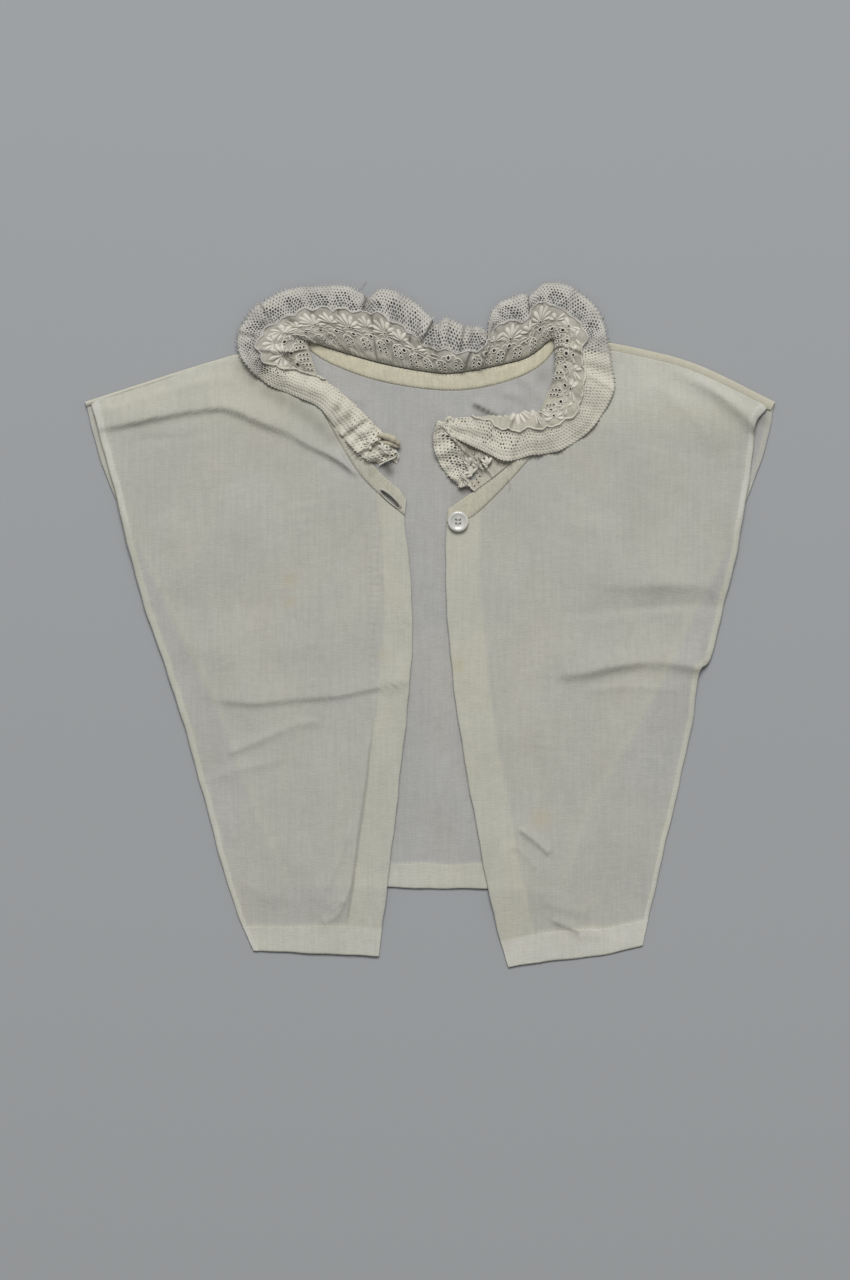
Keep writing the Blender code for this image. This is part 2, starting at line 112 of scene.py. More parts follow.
LEFT_SIDE = (
    (117, -176), (128, -126), (143, -60), (148, -27), (154, -18), (163, 17), (170, 47), (177, 93), (179, 111),
    (185, 119),
)
LEFT_HEM = ((43, -188.1), (61, -185), (90, -182), (117, -176))
LEFT_CENTRE = ((43, -188.1), (32, -145), (15, -48), (9, 14), (9, 56))
LEFT_NECK = ((76, 155), (74, 139), (69, 118), (61, 100), (50, 86), (32, 67), (21, 58), (9, 56))

BAND_CORNER = (-13, 69)
SEAM_RIGHT_FRONT = ((-16, 74), (-30, 87), (-40, 105), (-51, 121), (-61, 138), (-65, 150), (-67, 158))
SEAM_BACK = ((-67, 158), (-57, 153), (-27, 144), (1, 139), (17, 139), (47, 145), (58, 150), (67, 158))
SEAM_LEFT_FRONT = ((67, 158), (68, 146), (66, 132), (53, 102), (41, 87), (24, 74), (10, 64))

# Creases: points along each, its height (a trough is negative), and how wide its slope is on the left
# and on the right of its own direction. CREASE_SHADE is how much painted shade a slope of one gets.
CREASE_SHADE = 0.12
BACK_CREASES = (
    (((1, 128), (2, 96), (0, 58)), 0.3, 1.6, 1.6),
    (((-2, 126), (-2, 90), (-4, 60)), -0.25, 1.0, 1.4),
    (((24, 122), (31, 118), (39, 113)), 1.9, 5.0, 1.2),
    (((48, 137), (57, 130), (66, 118)), 0.9, 3.0, 2.0),
    (((40, 128), (50, 124), (58, 114)), 0.8, 3.0, 1.6),
    (((-60, 138), (-50, 128), (-34, 122)), 0.5, 4.0, 2.0),
    (((-52, 128), (-34, 112), (-20, 88)), 0.5, 6.0, 4.0),
    (((6, 20), (-3, -40), (2, -98)), 0.35, 3.0, 4.0),
    (((-12, 60), (-14, 20), (-10, -30)), 0.3, 3.0, 5.0),
    (((-6, -150), (-4, -120), (8, -70)), 0.35, 2.5, 3.5),
    (((20, -10), (24, -60), (30, -110)), 0.35, 3.0, 5.0),
)
RIGHT_CREASES = (
    (((-188, 107), (-169, 110), (-150, 114), (-134, 117), (-116, 119), (-106, 117), (-93, 111), (-79, 106),
      (-67, 99), (-53, 92), (-41, 84), (-36, 82)), 2.6, 13.0, 1.5),
    (((-186, 118), (-160, 124), (-130, 132), (-100, 136)), 0.7, 5.0, 6.0),
    (((-160, 102), (-140, 103), (-120, 106)), -0.5, 2.5, 3.0),
    (((-11, -31), (-32, -35), (-52, -39), (-75, -41), (-97, -43), (-118, -41)), 1.5, 1.6, 11.0),
    (((-112, -71), (-97, -65), (-76, -56), (-60, -52)), 0.9, 4.0, 2.0),
    (((-120, -84), (-98, -78), (-80, -74)), 0.5, 3.0, 2.5),
    (((-34, 54), (-33, 40), (-32, 10), (-32, -34)), 0.4, 2.0, 1.4),
    (((-30, 84), (-31, 60), (-29, 20), (-32, -10)), 0.5, 1.2, 2.2),
    (((-25, 84), (-27, 70), (-27, 48)), 0.5, 1.4, 1.8),
    (((-27, 31), (-19, 16), (-12, 1)), 0.9, 1.4, 2.6),
    (((-32, -60), (-35, -82), (-38, -100), (-40.5, -118), (-43, -140), (-48, -156)), 0.9, 1.3, 2.2),
    (((-47, -150), (-52, -160), (-60, -163)), 1.0, 2.0, 1.5),
    (((-150, 20), (-120, 8), (-80, 12)), -0.7, 12.0, 9.0),
    (((-140, -8), (-110, -16), (-60, -12)), 0.8, 12.0, 9.0),
    (((-44, -112), (-50, -130), (-58, -146)), 0.5, 2.0, 4.0),
    (((-150, 60), (-128, 22), (-112, -26)), 0.6, 9.0, 7.0),
    (((-106, 80), (-96, 40), (-92, -10)), 0.5, 7.0, 9.0),
    (((-70, 70), (-62, 10), (-66, -60)), 0.6, 10.0, 7.0),
    (((-90, -120), (-70, -136), (-52, -158)), 0.6, 7.0, 5.0),
    (((-104, -140), (-86, -150), (-60, -150)), 0.4, 5.0, 4.0),
    (((-178, 94), (-168, 60), (-158, 30)), 0.5, 3.0, 5.0),
)
LEFT_CREASES = (
    (((130, 146), (143, 138), (154, 131), (165, 122), (175, 113), (182, 105)), 3.4, 8.0, 4.0),
    (((120, 134), (134, 124), (150, 108), (160, 96)), 1.0, 7.0, 5.0),
    (((92, 21), (118, 22), (140, 22), (162, 20)), 2.0, 12.0, 5.0),
    (((80, 6), (100, 8), (124, 9.5), (145, 10.5), (164, 9)), -1.0, 5.0, 2.0),
    (((69, -28), (84, -26.5), (100, -23), (118, -20.5), (135, -21.5), (152, -25)), 2.8, 12.0, 3.0),
    (((84, -36), (110, -34), (138, -36)), 0.6, 4.0, 3.0),
    (((49, -112), (58, -119), (66, -126)), 1.3, 3.0, 1.2),
    (((44, -120), (52, -126), (58, -134)), 0.5, 2.0, 2.0),
    (((67, -162), (76, -166), (85, -169), (94, -168)), 1.3, 3.5, 1.2),
    (((62, -152), (74, -156), (88, -158)), 0.5, 3.0, 3.0),
    (((182, 119), (180, 112), (177, 103)), -1.2, 3.0, 3.0),
    (((170, 96), (164, 60), (156, 20)), 0.6, 4.0, 7.0),
    (((120, 100), (112, 60), (118, 30)), 0.7, 9.0, 7.0),
    (((60, 40), (66, -10), (60, -70)), 0.6, 9.0, 7.0),
    (((88, 60), (96, 40), (92, 20)), 0.5, 6.0, 6.0),
    (((100, -60), (94, -100), (98, -140)), 0.6, 8.0, 6.0),
    (((120, -70), (118, -110), (112, -150)), 0.5, 6.0, 6.0),
)

# faint yellow marks on the fronts: (x, y, radius, how strong)
MARKS = (
    (-77, 25, 4, 0.35), (-77, 13, 3, 0.35), (15, -22, 4, 0.35), (-25, -16, 3, 0.35), (61, -106, 5, 0.35),
)

# painted shade and shadow on the fronts and the back, in hollows and under the lace: (x, y, radius, how dark)
SHADE_SPOTS = (
    (182, 113, 4, 0.30), (178, 106, 4, 0.15), (-32, 84, 3, 0.2), (14, 70, 4, 0.12), (-24, 87.5, 3.2, 0.6),
    (-22, 84, 2.6, 0.45), (19, 74.5, 2.8, 0.55), (24.8, 121.2, 1.1, 0.5), (27, 120, 1.1, 0.6),
    (29.4, 118.8, 1.1, 0.65), (31.8, 117.5, 1.1, 0.65), (34.2, 116.2, 1.2, 0.6), (36.4, 115, 1.2, 0.6),
    (38.4, 114, 1.2, 0.5), (-64, 139, 3, 0.2), (62, 137, 4, 0.2), (53, 124, 4, 0.12),
    (-103, 142, 4, 0.22), (-97, 136, 4.5, 0.26), (-89, 129, 5, 0.26), (-81, 124.5, 5, 0.28),
    (-73, 120, 5, 0.26), (-66, 115, 5, 0.24), (-60, 109, 5, 0.26), (-54, 103, 4.5, 0.22), (78, 106, 4, 0.12),
    (84, 111, 4, 0.14), (90, 117, 4, 0.12),
)
# painted shade in the deep folds of the frill: (x, y, radius, how dark)
FRILL_SHADE_SPOTS = (
    (-79, 147, 1.6, 0.5), (-76, 145, 1.8, 0.65), (-72.5, 142.8, 1.8, 0.65), (-69, 141, 1.7, 0.5),
    (-76.5, 167, 2.2, 0.45), (-60, 162, 1.4, 0.4), (-56, 159, 1.4, 0.4), (-11, 157, 2.0, 0.4),
    (-6, 155.5, 2.0, 0.5), (0, 153.5, 2.0, 0.5), (5, 152, 1.8, 0.4), (31, 149, 2.0, 0.5),
    (-51, 119, 2.4, 0.45), (-45, 114, 2.4, 0.5), (-97, 159, 1.5, 0.3), (-34, 178, 1.8, 0.35),
    (30, 160, 1.8, 0.4), (17, 99, 2.0, 0.35), (24, 96, 2.0, 0.35), (32, 91, 2.0, 0.45), (-28, 167, 2.2, 0.3),
    (14, 103, 1.5, 0.3),
)
# the most painted shade that a fold of the frill gets
DARKEST = 0.85
# the right front's facing is tucked deeper between these heights on the garment, along these lines of points
TUCK_TOP = -30
TUCK_FOOT = -170
TUCK_TURN = ((6, 7, 8, 9, 10), (0, 0.5, 1, 0.4, 0))

# The frill's sections. place is the distance along the neckband's inner edge,
# roll is how far its crest lies behind the cord, lift and rim are heights over what it lies on.
FRILL_COLUMNS = ("place", "roll", "cord_x", "cord_y", "edge_x", "edge_y", "lift", "rim")
FRILL_SECTIONS = (
    (8, 3, -20, 92, -28, 88, 4.0, 0.3),
    (23, 7, -29, 99, -38, 93, 3.4, 0.3),
    (40, 7, -38, 109, -47, 102, 2.8, 0.3),
    (65, 7, -57, 126, -61, 119, 2.5, 0.3),
    (78, 6, -71, 132, -73, 125, 2.8, 0.3),
    (89, 5, -85, 139, -89, 132, 4.0, 0.3),
    (97, 0, -93, 149, -103, 146, 4.5, 0.3),
    (101, 0, -92, 159, -105, 161, 4.5, 0.3),
    (106, 0, -84, 165, -94, 176, 4.5, 0.3),
    (114, 0, -75, 170, -79, 184, 4.5, 0.3),
    (122, 0, -63, 173, -64, 186, 4.0, 0.3),
    (135, 0, -47, 172, -45, 186, 4.0, 0.3),
    (145, 0, -34, 171, -34, 180, 2.5, 0.3),
    (151, 0, -26, 169, -26, 185, 3.5, 0.3),
    (162, 0, -13, 161, -9, 178, 3.5, 0.3),
    (173, 0, -2, 152, 3, 166, 2.5, 0.3),
    (180, 0, 8, 150, 9, 169, 3.5, 0.3),
    (189, 0, 19, 149, 20, 164, 3.0, 0.3),
    (196, 0, 27, 150, 28, 164, 3.0, 0.3),
    (201, 0, 33, 156, 31, 159, 3.0, 0.3),
    (208, 0, 40, 165, 35, 174, 4.0, 0.3),
    (220, 0, 53, 167, 50, 182, 4.0, 0.3),
    (227, 0, 56, 173, 56, 180, 2.5, 0.3),
    (233, 0, 62, 176, 63, 188, 4.5, 0.3),
    (239, 0, 74, 171, 79, 185, 4.5, 0.3),
    (243, 0, 82, 164, 93, 172, 4.5, 0.3),
    (246, 0, 84, 157, 97, 157, 4.5, 0.3),
    (252, 10, 82, 148, 99, 145, 4.5, 0.3),
    (262, 13, 84, 136, 101, 128, 4.0, 0.3),
    (276, 10, 79, 117, 89, 108, 3.4, 0.3),
    (290, 8, 67, 110, 72, 96, 3.3, 0.3),
    (306, 8, 54, 108.5, 55, 93, 3.6, 0.3),
    (315, 7, 44, 107.2, 42, 90, 4.3, 1.8),
    (321, 4, 33, 109.4, 30, 95, 5.0, 5.0),
    (327, 2, 16, 110.2, 15, 102, 5.0, 5.0),
    (328.5, 1.5, 10.5, 110.6, 8, 106, 5.0, 4.5),
    (330, 0, 5.5, 111.6, 2.5, 109.5, 4.5, 4.0),
    (334, 0, 13, 101, 2, 98, 3.0, 2.0),
    (338, 0, 17, 89, 7, 86, 2.0, 1.2),
    (341, 0, 21, 77, 17, 76, 1.5, 1.0),
)
# The tables from here to CRUSHED are rows of (place, value).
# Which row of the frill the cord lies on: 2, or nearer the crest where the net covers the roll.
CORD_ROW = (
    (0, 0.9), (30, 0.6), (60, 0.55), (82, 0.7), (95, 2.0), (312, 2.0), (320, 1.9), (325, 1.0), (331, 1.1),
    (336, 1.4), (341, 1.5),
)
# on the fronts the thin lace lies this much closer to the cloth than the solids do
SETTLED = ((84, 1.3), (98, 0), (246, 0), (260, 1.3))
RUFFLE_SIZE = ((0, 1), (40, 0.5), (85, 0.5), (100, 1), (246, 1), (262, 0.5), (345, 0.6))
CRUSHED = ((0, 1.0), (18, 1.0), (42, 0.7), (60, 0.12), (312, 0.12), (322, 0.5), (341, 0.8))

# The heights on which the frill rests, the height of its seam, and how far the seam stands from the band.
FLOOR_BED = 1.7
CLOTH_BED = LAYER + CLOTH + TURNED + LACE + 3 * GAP
BACK_PLACES = (100, 243)
BACK_SEAM_HEIGHT = BAND - 0.1
FRONT_SEAM_HEIGHT = LAYER + BAND + 0.15
SEAM_GAP = -0.6
SEAM_GAP_BACK = 0.3
BED_SLOPE = 8.0
# the frill lies on a front before the first of these places and beyond the second
NET_FRONTS = (92, 250)
CLOTH_FRONTS = (96, 246)
# the height of a roll's crest as a share of its cord's, and the ruffles of the frill's edge
ROLL_SHARE = 0.6
RUFFLES = 34
RUFFLE_HEIGHT = 2.2
QUICK_RISE = 0.15

# how finely the frill is drawn
FRILL_STEPS = 1500
FRILL_ROWS = 150
SECTION_STEPS = 60
OUT_STEP = 0.25
OUTS = np.arange(0, 64, OUT_STEP)

# The embroidery's repeat: a flower over a single eyelet, large and small by turns, and a block of six
# eyelets between each two. Out is the distance from the neckband's seam.
REPEAT = 10.9
BLOCK_OUT = 2.5
BLOCK_ROW = 1.95
BLOCK_COLUMN = 1.4
SINGLE_OUT = 9.3
FLOWER_OUT = 12.9
PATTERN_WIDTH = 21.3
SCALLOP = 1.7
# each eyelet's hole and thread
BLOCK_EYELET = (0.62, 0.29)
SINGLE_EYELET = (0.85, 0.4)
FLOWER_EYELET = (0.6, 0.3)
# each petal's angle, start, length and width
LARGE_FLOWER = (
    (-84, 1.3, 4.8, 0.95), (-56, 1.2, 5.6, 1.1), (-28, 1.2, 6.3, 1.2), (0, 1.2, 6.7, 1.25),
    (28, 1.2, 6.3, 1.2), (56, 1.2, 5.6, 1.1), (84, 1.3, 4.8, 0.95),
)
SMALL_FLOWER = (
    (-68, 0.8, 3.8, 0.95), (-34, 0.7, 4.9, 1.05), (0, 0.6, 5.6, 1.15), (34, 0.7, 4.9, 1.05),
    (68, 0.8, 3.8, 0.95),
)
# flowers where the frill is crushed: place, distance out, turn and size
CRUSHED_FLOWERS = (
    (17, 24, 160, 0.8), (26, 26, 30, 0.8), (327, 7, 20, 0.9), (331, 9, -50, 0.9), (334, 13, 40, 0.95),
    (337, 8, 10, 0.9),
)
# the rolls of plain cloth on the frill's first end: points along each, and its radius
TIP_ROLLS = (
    (((-29, 104.5, 5.2), (-24, 103.6, 5.8), (-19.5, 101.6, 5.2), (-16.2, 98.9, 4.0)), 2.1),
    (((-28, 100.6, 4.8), (-22.5, 99.9, 5.0), (-17.2, 97.8, 3.8)), 1.4),
)
# folds across the strip: a point on each, its height, and its widths towards each end of the frill
STRIP_FOLDS = (
    (-88, 150, 1.2, 0.8, 2.5), (-58, 160, 1.5, 3.0, 0.7), (-37, 170, 1.2, 0.8, 3.5),
    (-28, 166, 1.0, 3.0, 0.8), (-15, 158, 1.0, 0.8, 3.0), (2, 152, 1.2, 3.0, 0.8), (20, 150, 1.6, 3.0, 0.7),
    (31, 149, 1.5, 0.8, 3.0), (44, 163, 1.0, 2.5, 0.8), (60, 172, 1.2, 0.8, 3.0), (83, 152, 1.3, 3.0, 0.7),
    (82, 130, 1.0, 0.8, 3.0), (64, 112, 1.0, 2.5, 0.8), (50, 109, 1.0, 0.8, 2.5),
)
# how high the embroidered cloth lies over the frill's surface, how finely it is drawn, and its gathers
BASE_LIFT = 0.6
BASE_STEP = 0.62
BASE_ROWS = 44
BULGE = 0.35
BULGE_WIDTH = 1.6
GATHER_PITCH = 2.7
GATHER_REACH = 9.0
GATHER_HEIGHT = 0.26

# the net's cells, its height over the frill's surface, and its edge
NET_PITCH = 1.7
NET_ROWS = 9
NET_LIFT = -0.5
# half the net's thickness at the middle of its threads, and beside its holes
NET_THREAD = 0.17
NET_THIN = 0.05
LACE_REPEAT = 14.0
PICOT_PITCH = 1.9
PICOT_LENGTH = 2.1
# Rows of (place, value): how open the net is, how low its outer part lies, how uneven its holes are,
# and how long its picots are.
NET_OPEN = (
    (0, 0.9), (30, 0.55), (48, 0.2), (80, 0.22), (94, 1.1), (245, 1.1), (253, 0.3), (302, 0.28), (310, 0.5),
    (319, 0.6), (326, 0.4), (333, 0.9), (345, 0.9),
)
NET_LOW = ((0, 0.5), (84, 0.5), (96, 0), (246, 0), (256, 0.5), (345, 0.5))
NET_UNEVEN = ((0, 1.1), (84, 1.1), (96, 0.5), (245, 0.5), (256, 1.1), (345, 1.1))
PICOT_SIZE = ((0, 1.5), (25, 1.3), (45, 0.4), (84, 0.4), (96, 1), (245, 1), (262, 0.4), (345, 0.7))
# Pleats across the net: a point on each, its height, and its widths towards each end of the frill.
PLEATS = (
    (-88, 168, 2.6, 5.0, 0.7), (-96, 159, 1.6, 1.0, 4.0), (-70, 178, 1.0, 4.0, 2.5),
    (-55, 180, 1.2, 2.0, 5.0), (-36, 178, 3.0, 5.0, 0.8), (-20, 176, 1.2, 4.0, 3.0), (0, 164, 3.2, 3.5, 1.0),
    (9, 160, 1.2, 2.0, 2.0), (19, 159, 2.4, 1.0, 4.0), (30, 158, 2.6, 2.5, 1.0), (40, 172, 1.5, 2.0, 3.0),
    (54, 177, 3.0, 1.0, 5.0), (75, 178, 1.2, 4.0, 3.0), (93, 152, 1.6, 1.8, 3.5), (98, 134, 1.1, 3.0, 2.0),
    (90, 112, 1.2, 3.0, 4.0), (60, 96, 1.5, 3.0, 2.0), (46, 94, 1.2, 2.0, 3.0), (-95, 135, 1.2, 3.0, 3.0),
    (-70, 122, 1.0, 4.0, 2.0), (-44, 106, 1.6, 1.2, 3.0), (-36, 96, 2.0, 1.0, 2.5), (-30, 92, 1.6, 1.4, 1.4),
)

BUTTON_RADIUS = 5.75
BUTTON_HEIGHT = 2.2
# how high the button's middle is, as a share of its rim
DISH = 0.75
BUTTON_PLACE = (15.4, 57.0)
BUTTON_HOLE = 0.6
BUTTON_HOLES_APART = 2.9
BUTTON_BASE = LAYER + CLOTH + TURNED + GAP
BUTTONHOLE_PLACE = (-21.8, 69.6)
BUTTONHOLE_LENGTH = 14.0
BUTTONHOLE_WIDTH = 2.8
BUTTONHOLE_TURN = math.radians(-42)

# short ends of thread at the lace and the neckband
THREAD_ENDS = (
    ((-45, 184, 2.5), (-42, 186, 3.0), (-38, 186.5, 2.6), (-35, 190, 1.2)),
    ((-104, 164, 2.0), (-102.5, 168, 2.4), (-98, 170, 2.2)),
    ((42, 82, 4.2), (44, 78, 4.4), (43, 74, 4.0)),
)

# Cloth colour left under the deepest painted shade in folds, its patchy cooler and warmer tints, and its
# marks.
FOLD_SHADE_TINT = (0.08, 0.06, 0.0)
COOL_TINT = (0.99, 0.995, 1.012)
WARM_TINT = (1.01, 1.003, 0.98)
MARK_COLOUR = (0.40, 0.34, 0.20)

# a wide soft lamp beyond the neck, aimed at the middle of the floor
KEY_PLACE = (60, 3500, 4200)
KEY_SIZE = 2800
KEY_POWER = 308
SKY_STRENGTH = 0.30
FLOOR_REACH = 3000
FLOOR_HEIGHT = -0.05

# the camera looks straight down, and its view is as long as the photo's
CAMERA_HEIGHT = 2000.0
VIEW_CENTRE = (-2.75, -8.0)
VIEW_LENGTH = 704.0
SENSOR = 36.0


def smooth_span(a, b, c, d, t):
    """Where a smooth line through four points lies between the middle two."""
    return 0.5 * (2 * b + (c - a) * t + (2 * a - 5 * b + 4 * c - d) * t**2 + (3 * b - a - 3 * c + d) * t**3)


def spline(points, steps=12):
    """A smooth line through the points, as an array of points."""
    points = np.array(points, float)
    ends = np.vstack([2 * points[0] - points[1], points, 2 * points[-1] - points[-2]])
    t = np.linspace(0, 1, steps, endpoint=False)[:, None]
    spans = [smooth_span(*four, t) for four in zip(ends, ends[1:], ends[2:], ends[3:])]
    return np.vstack(spans + [points[-1:]])


def closed_line(*parts):
    """A closed outline, from lines in order round it, each with the way it is followed."""
    return np.vstack([spline(line)[::way] for line, way in parts])


def lengths_along(line):
    steps = np.linalg.norm(np.diff(line, axis=0), axis=1)
    return np.concatenate([[0], np.cumsum(steps)])


def places(line, fractions):
    """The points at these fractions of the line's length."""
    lengths = lengths_along(line)
    wanted = np.asarray(fractions) * lengths[-1]
    return np.stack([np.interp(wanted, lengths, line[:, axis]) for axis in range(line.shape[1])], axis=-1)


def evenly(line, pitch):
    """Points along the line, about this far apart."""
    count = max(int(lengths_along(line)[-1] / pitch), 1)
    return places(line, np.linspace(0, 1, count + 1))


def offset(line, distance):
    """The line moved sideways, to the left of its own direction."""
    along = np.gradient(line, axis=0)
    along /= np.linalg.norm(along, axis=1)[:, None]
    return line + distance * np.column_stack([-along[:, 1], along[:, 0]])


def smooth(x):
    x = np.clip(x, 0, 1)
    return x * x * (3 - 2 * x)


def unit(ways):
    """Each direction with a length of one."""
    return ways / np.linalg.norm(ways, axis=-1)[..., None]


def scatter(count, seed):
    """Repeatable numbers between 0 and 1."""
    return np.random.default_rng(seed).random(count)


def by_place(place, rows):
    """The value at each place along the frill, from rows of (place, value)."""
    return np.interp(place, *zip(*rows))


def depth_inside(xy, outline):
    """How deep each point lies inside the closed outline, negative outside it."""
    points = xy.reshape(-1, 2)
    away = np.full(len(points), np.inf)
    crossings = np.zeros(len(points), int)
    for start, end in zip(outline, np.roll(outline, -1, axis=0)):
        run = end - start
        t = np.clip((points - start) @ run / max(run @ run, 1e-9), 0, 1)
        away = np.minimum(away, np.hypot(*(points - start - t[:, None] * run).T))
        rises = (start[1] > points[:, 1]) != (end[1] > points[:, 1])
        slope = run[0] / run[1] if run[1] else 0
        crossings += rises & (points[:, 0] < start[0] + slope * (points[:, 1] - start[1]))
    return np.where(crossings % 2 == 1, away, -away).reshape(xy.shape[:-1])


def marks(length, near, far, spans, crowd=None):
    """Fractions of a length: fixed distances from each end, with spans between them, even or crowded."""
    steps = np.linspace(0, 1, spans + 1)
    steps = crowd(steps) if crowd else steps
    between = (near[-1] + (length - far[0] - near[-1]) * steps)[1:-1]
    return np.concatenate([near, between, length - np.array(far)]) / length


def patch(bottom, top, left, right, across, up):
    """Points of a sheet between four edge lines, at fractions across and up it."""
    u, v = across[..., None], up[..., None]
    sides = (1 - v) * bottom(across) + v * top(across) + (1 - u) * left(up) + u * right(up)
    ends = np.array([0.0, 1.0])
    (low_left, low_right), (high_left, high_right) = bottom(ends), top(ends)
    corners = (1 - v) * ((1 - u) * low_left + u * low_right) + v * ((1 - u) * high_left + u * high_right)
    return sides - corners


def crowded_middle(steps):
    return steps + 0.6 * np.sin(2 * math.pi * steps) / (2 * math.pi)


def crowded_top(steps):
    return 1.5 * steps - 0.5 * steps**2


def panel_grid(bottom, top, left, right, near, far, foot, head, columns, rows, crowds=(None, None)):
    """A panel's points in rows from its bottom edge up, with lines at the given distances from its edges."""
    middle = np.array([0.5])
    height = np.linalg.norm(top(middle) - bottom(middle))
    rough_up = marks(height, foot, head, rows, crowds[1])
    rough_across = np.linspace(0, 1, len(near) + len(far) + columns - 1)
    widths = np.linalg.norm(right(rough_up) - left(rough_up), axis=1)
    heights = np.linalg.norm(top(rough_across) - bottom(rough_across), axis=1)
    across = np.array([marks(width, near, far, columns, crowds[0]) for width in widths])
    up = np.array([marks(height, foot, head, rows, crowds[1]) for height in heights]).T
    return patch(bottom, top, left, right, across, up)


def doubled(count, profile):
    """How far a turned edge doubles the cloth, line by line in from the edge."""
    return np.interp(np.arange(count), *profile)


def edge(line):
    return lambda fractions: places(line, fractions)


def joined_edge(lines, corners):
    """An edge made of lines end to end, with the corners between them at these fractions."""
    stops = (0, *corners, 1)

    def at(fractions):
        found = np.zeros((*np.shape(fractions), 2))
        for line, low, high in zip(lines, stops, stops[1:]):
            here = (fractions >= low) & (fractions <= high)
            found[here] = places(line, (fractions[here] - low) / (high - low))
        return found

    return at


def with_height(xy, height):
    return np.concatenate([xy, np.broadcast_to(height, xy.shape[:-1])[..., None]], axis=-1)


def wobbly(points, amount=0.35):
    """A line with the small unevenness of a hand-sewn edge. Its ends stay where they are."""
    line = spline(points, 40)
    along = lengths_along(line)
    sway = np.sin(along / 7.3) + 0.7 * np.sin(along / 3.1 + 1.3) + 0.5 * np.sin(along / 17.0 + 0.4)
    ends = smooth(along / 6) * smooth((along[-1] - along) / 6)
    return offset(line, 0) + (offset(line, 1) - line) * (amount * 0.5 * sway * ends)[:, None]


def crease_relief(xy, creases):
    """How far creases lift or lower the cloth at each point, and the painted shade on their steep sides."""
    relief, shade = np.zeros(xy.shape[:-1]), np.zeros(xy.shape[:-1])
    points = xy.reshape(-1, 2)
    for through, height, left, right in creases:
        line = spline(through, 10)
        way = np.gradient(line, axis=0)
        nearest = np.full(len(points), np.inf)
        found = np.zeros(len(points), int)
        for index, place in enumerate(line):
            away = np.hypot(*(points - place).T)
            closer = away < nearest
            nearest[closer] = away[closer]
            found[closer] = index
        gap = points - line[found]
        on_left = way[found, 0] * gap[:, 1] - way[found, 1] * gap[:, 0] > 0
        width = np.where(on_left, left, right)
        share = found / (len(line) - 1)
        fade = np.minimum(smooth(share * 8 + 0.25), smooth((1 - share) * 8 + 0.25))
        wander = 0.8 + 0.25 * np.sin(points[:, 0] / 9) * np.sin(points[:, 1] / 13)
        relief += (height * wander * fade * np.exp(-((nearest / width) ** 1.5))).reshape(relief.shape)
        # painted shade on the steep side of each crease
        steep = min(left, right)
        beside = nearest + np.where(width > steep, 3.0, 0.0)
        depth = CREASE_SHADE * min(abs(height) / steep, 2.5)
        shade += (depth * wander * fade * np.exp(-((beside / (steep + 0.6)) ** 2))).reshape(relief.shape)
    return relief, np.clip(shade, 0, 0.4)


def darker(points, rows):
    """How dark soft round spots make each point, from rows of (x, y, radius, how dark)."""
    shade = np.zeros(points.shape[:-1])
    for x, y, radius, depth in rows:
        shade = shade + depth * np.exp(-((np.hypot(points[..., 0] - x, points[..., 1] - y) / radius) ** 2))
    return shade


def soft_unevenness(xy):
    """The slight rise and fall of cloth that lies loosely."""
    x, y = xy[..., 0], xy[..., 1]
    slow = np.sin(x / 31 + y / 47) + np.sin(y / 13 - x / 41 + 1.7) + np.sin(x / 17 + y / 90 + 0.6)
    quick = np.sin(x / 6.1 + 1.8 * np.sin(y / 19)) * np.sin(y / 8.3 + 1.2 * np.sin(x / 27))
    return 0.11 * slow + 0.06 * quick


def material(name, colour, roughness, sheen=0.0):
    made = bpy.data.materials.new(name)
    made.use_nodes = True
    shader = made.node_tree.nodes["Principled BSDF"]
    shader.inputs["Base Color"].default_value = (*colour, 1)
    shader.inputs["Roughness"].default_value = roughness
    shader.inputs["Specular IOR Level"].default_value = 0.25
    shader.inputs["Sheen Weight"].default_value = sheen
    shader.inputs["Sheen Roughness"].default_value = 0.5
    return made


def node(tree, kind, **inputs):
    """A shader node. Names with no match among its inputs are its own properties."""
    made = tree.nodes.new(kind)
    for name, value in inputs.items():
        if name in made.inputs:
            made.inputs[name].default_value = value
        else:
            setattr(made, name, value)
    return made


def from_mesh(tree, name):
    """A value that the mesh gives at each of its points."""
    return node(tree, "ShaderNodeAttribute", attribute_name=name).outputs["Fac"]


def object_place(tree):
    return node(tree, "ShaderNodeTexCoord").outputs["Object"]


def noise(tree, vector, scale, stretch=(1, 1, 1), detail=3.0):
    """A noise texture in object coordinates, stretched along the axes."""
    mapping = node(tree, "ShaderNodeMapping")
    mapping.inputs["Scale"].default_value = [scale / s for s in stretch]
    made = node(tree, "ShaderNodeTexNoise", Scale=1.0, Detail=detail)
    tree.links.new(vector, mapping.inputs["Vector"])
    tree.links.new(mapping.outputs["Vector"], made.inputs["Vector"])
    return made.outputs["Fac"]


def spread(tree, value, low, high, from_low=0.3, from_high=0.7):
    """The value moved from one range to another."""
    made = node(tree, "ShaderNodeMapRange")
    for name, number in (("From Min", from_low), ("From Max", from_high), ("To Min", low), ("To Max", high)):
        made.inputs[name].default_value = number
    tree.links.new(value, made.inputs["Value"])
    return made.outputs["Result"]


def combined(tree, operation, first, second):
    made = node(tree, "ShaderNodeMath", operation=operation)
    for socket, value in zip(made.inputs, (first, second)):
        if isinstance(value, (int, float)):
            socket.default_value = value
        else:
            tree.links.new(value, socket)
    return made.outputs["Value"]


def mixed(tree, share, first, second, blend="MIX"):
    """Two colours mixed. Each is a colour or the output of a node."""
    made = node(tree, "ShaderNodeMix", data_type="RGBA", blend_type=blend)
    for socket, value in ((made.inputs[0], share), (made.inputs[6], first), (made.inputs[7], second)):
        if isinstance(value, (int, float)):
            socket.default_value = value
        elif isinstance(value, tuple):
            socket.default_value = (*value, 1)
        else:
            tree.links.new(value, socket)
    return made.outputs[2]


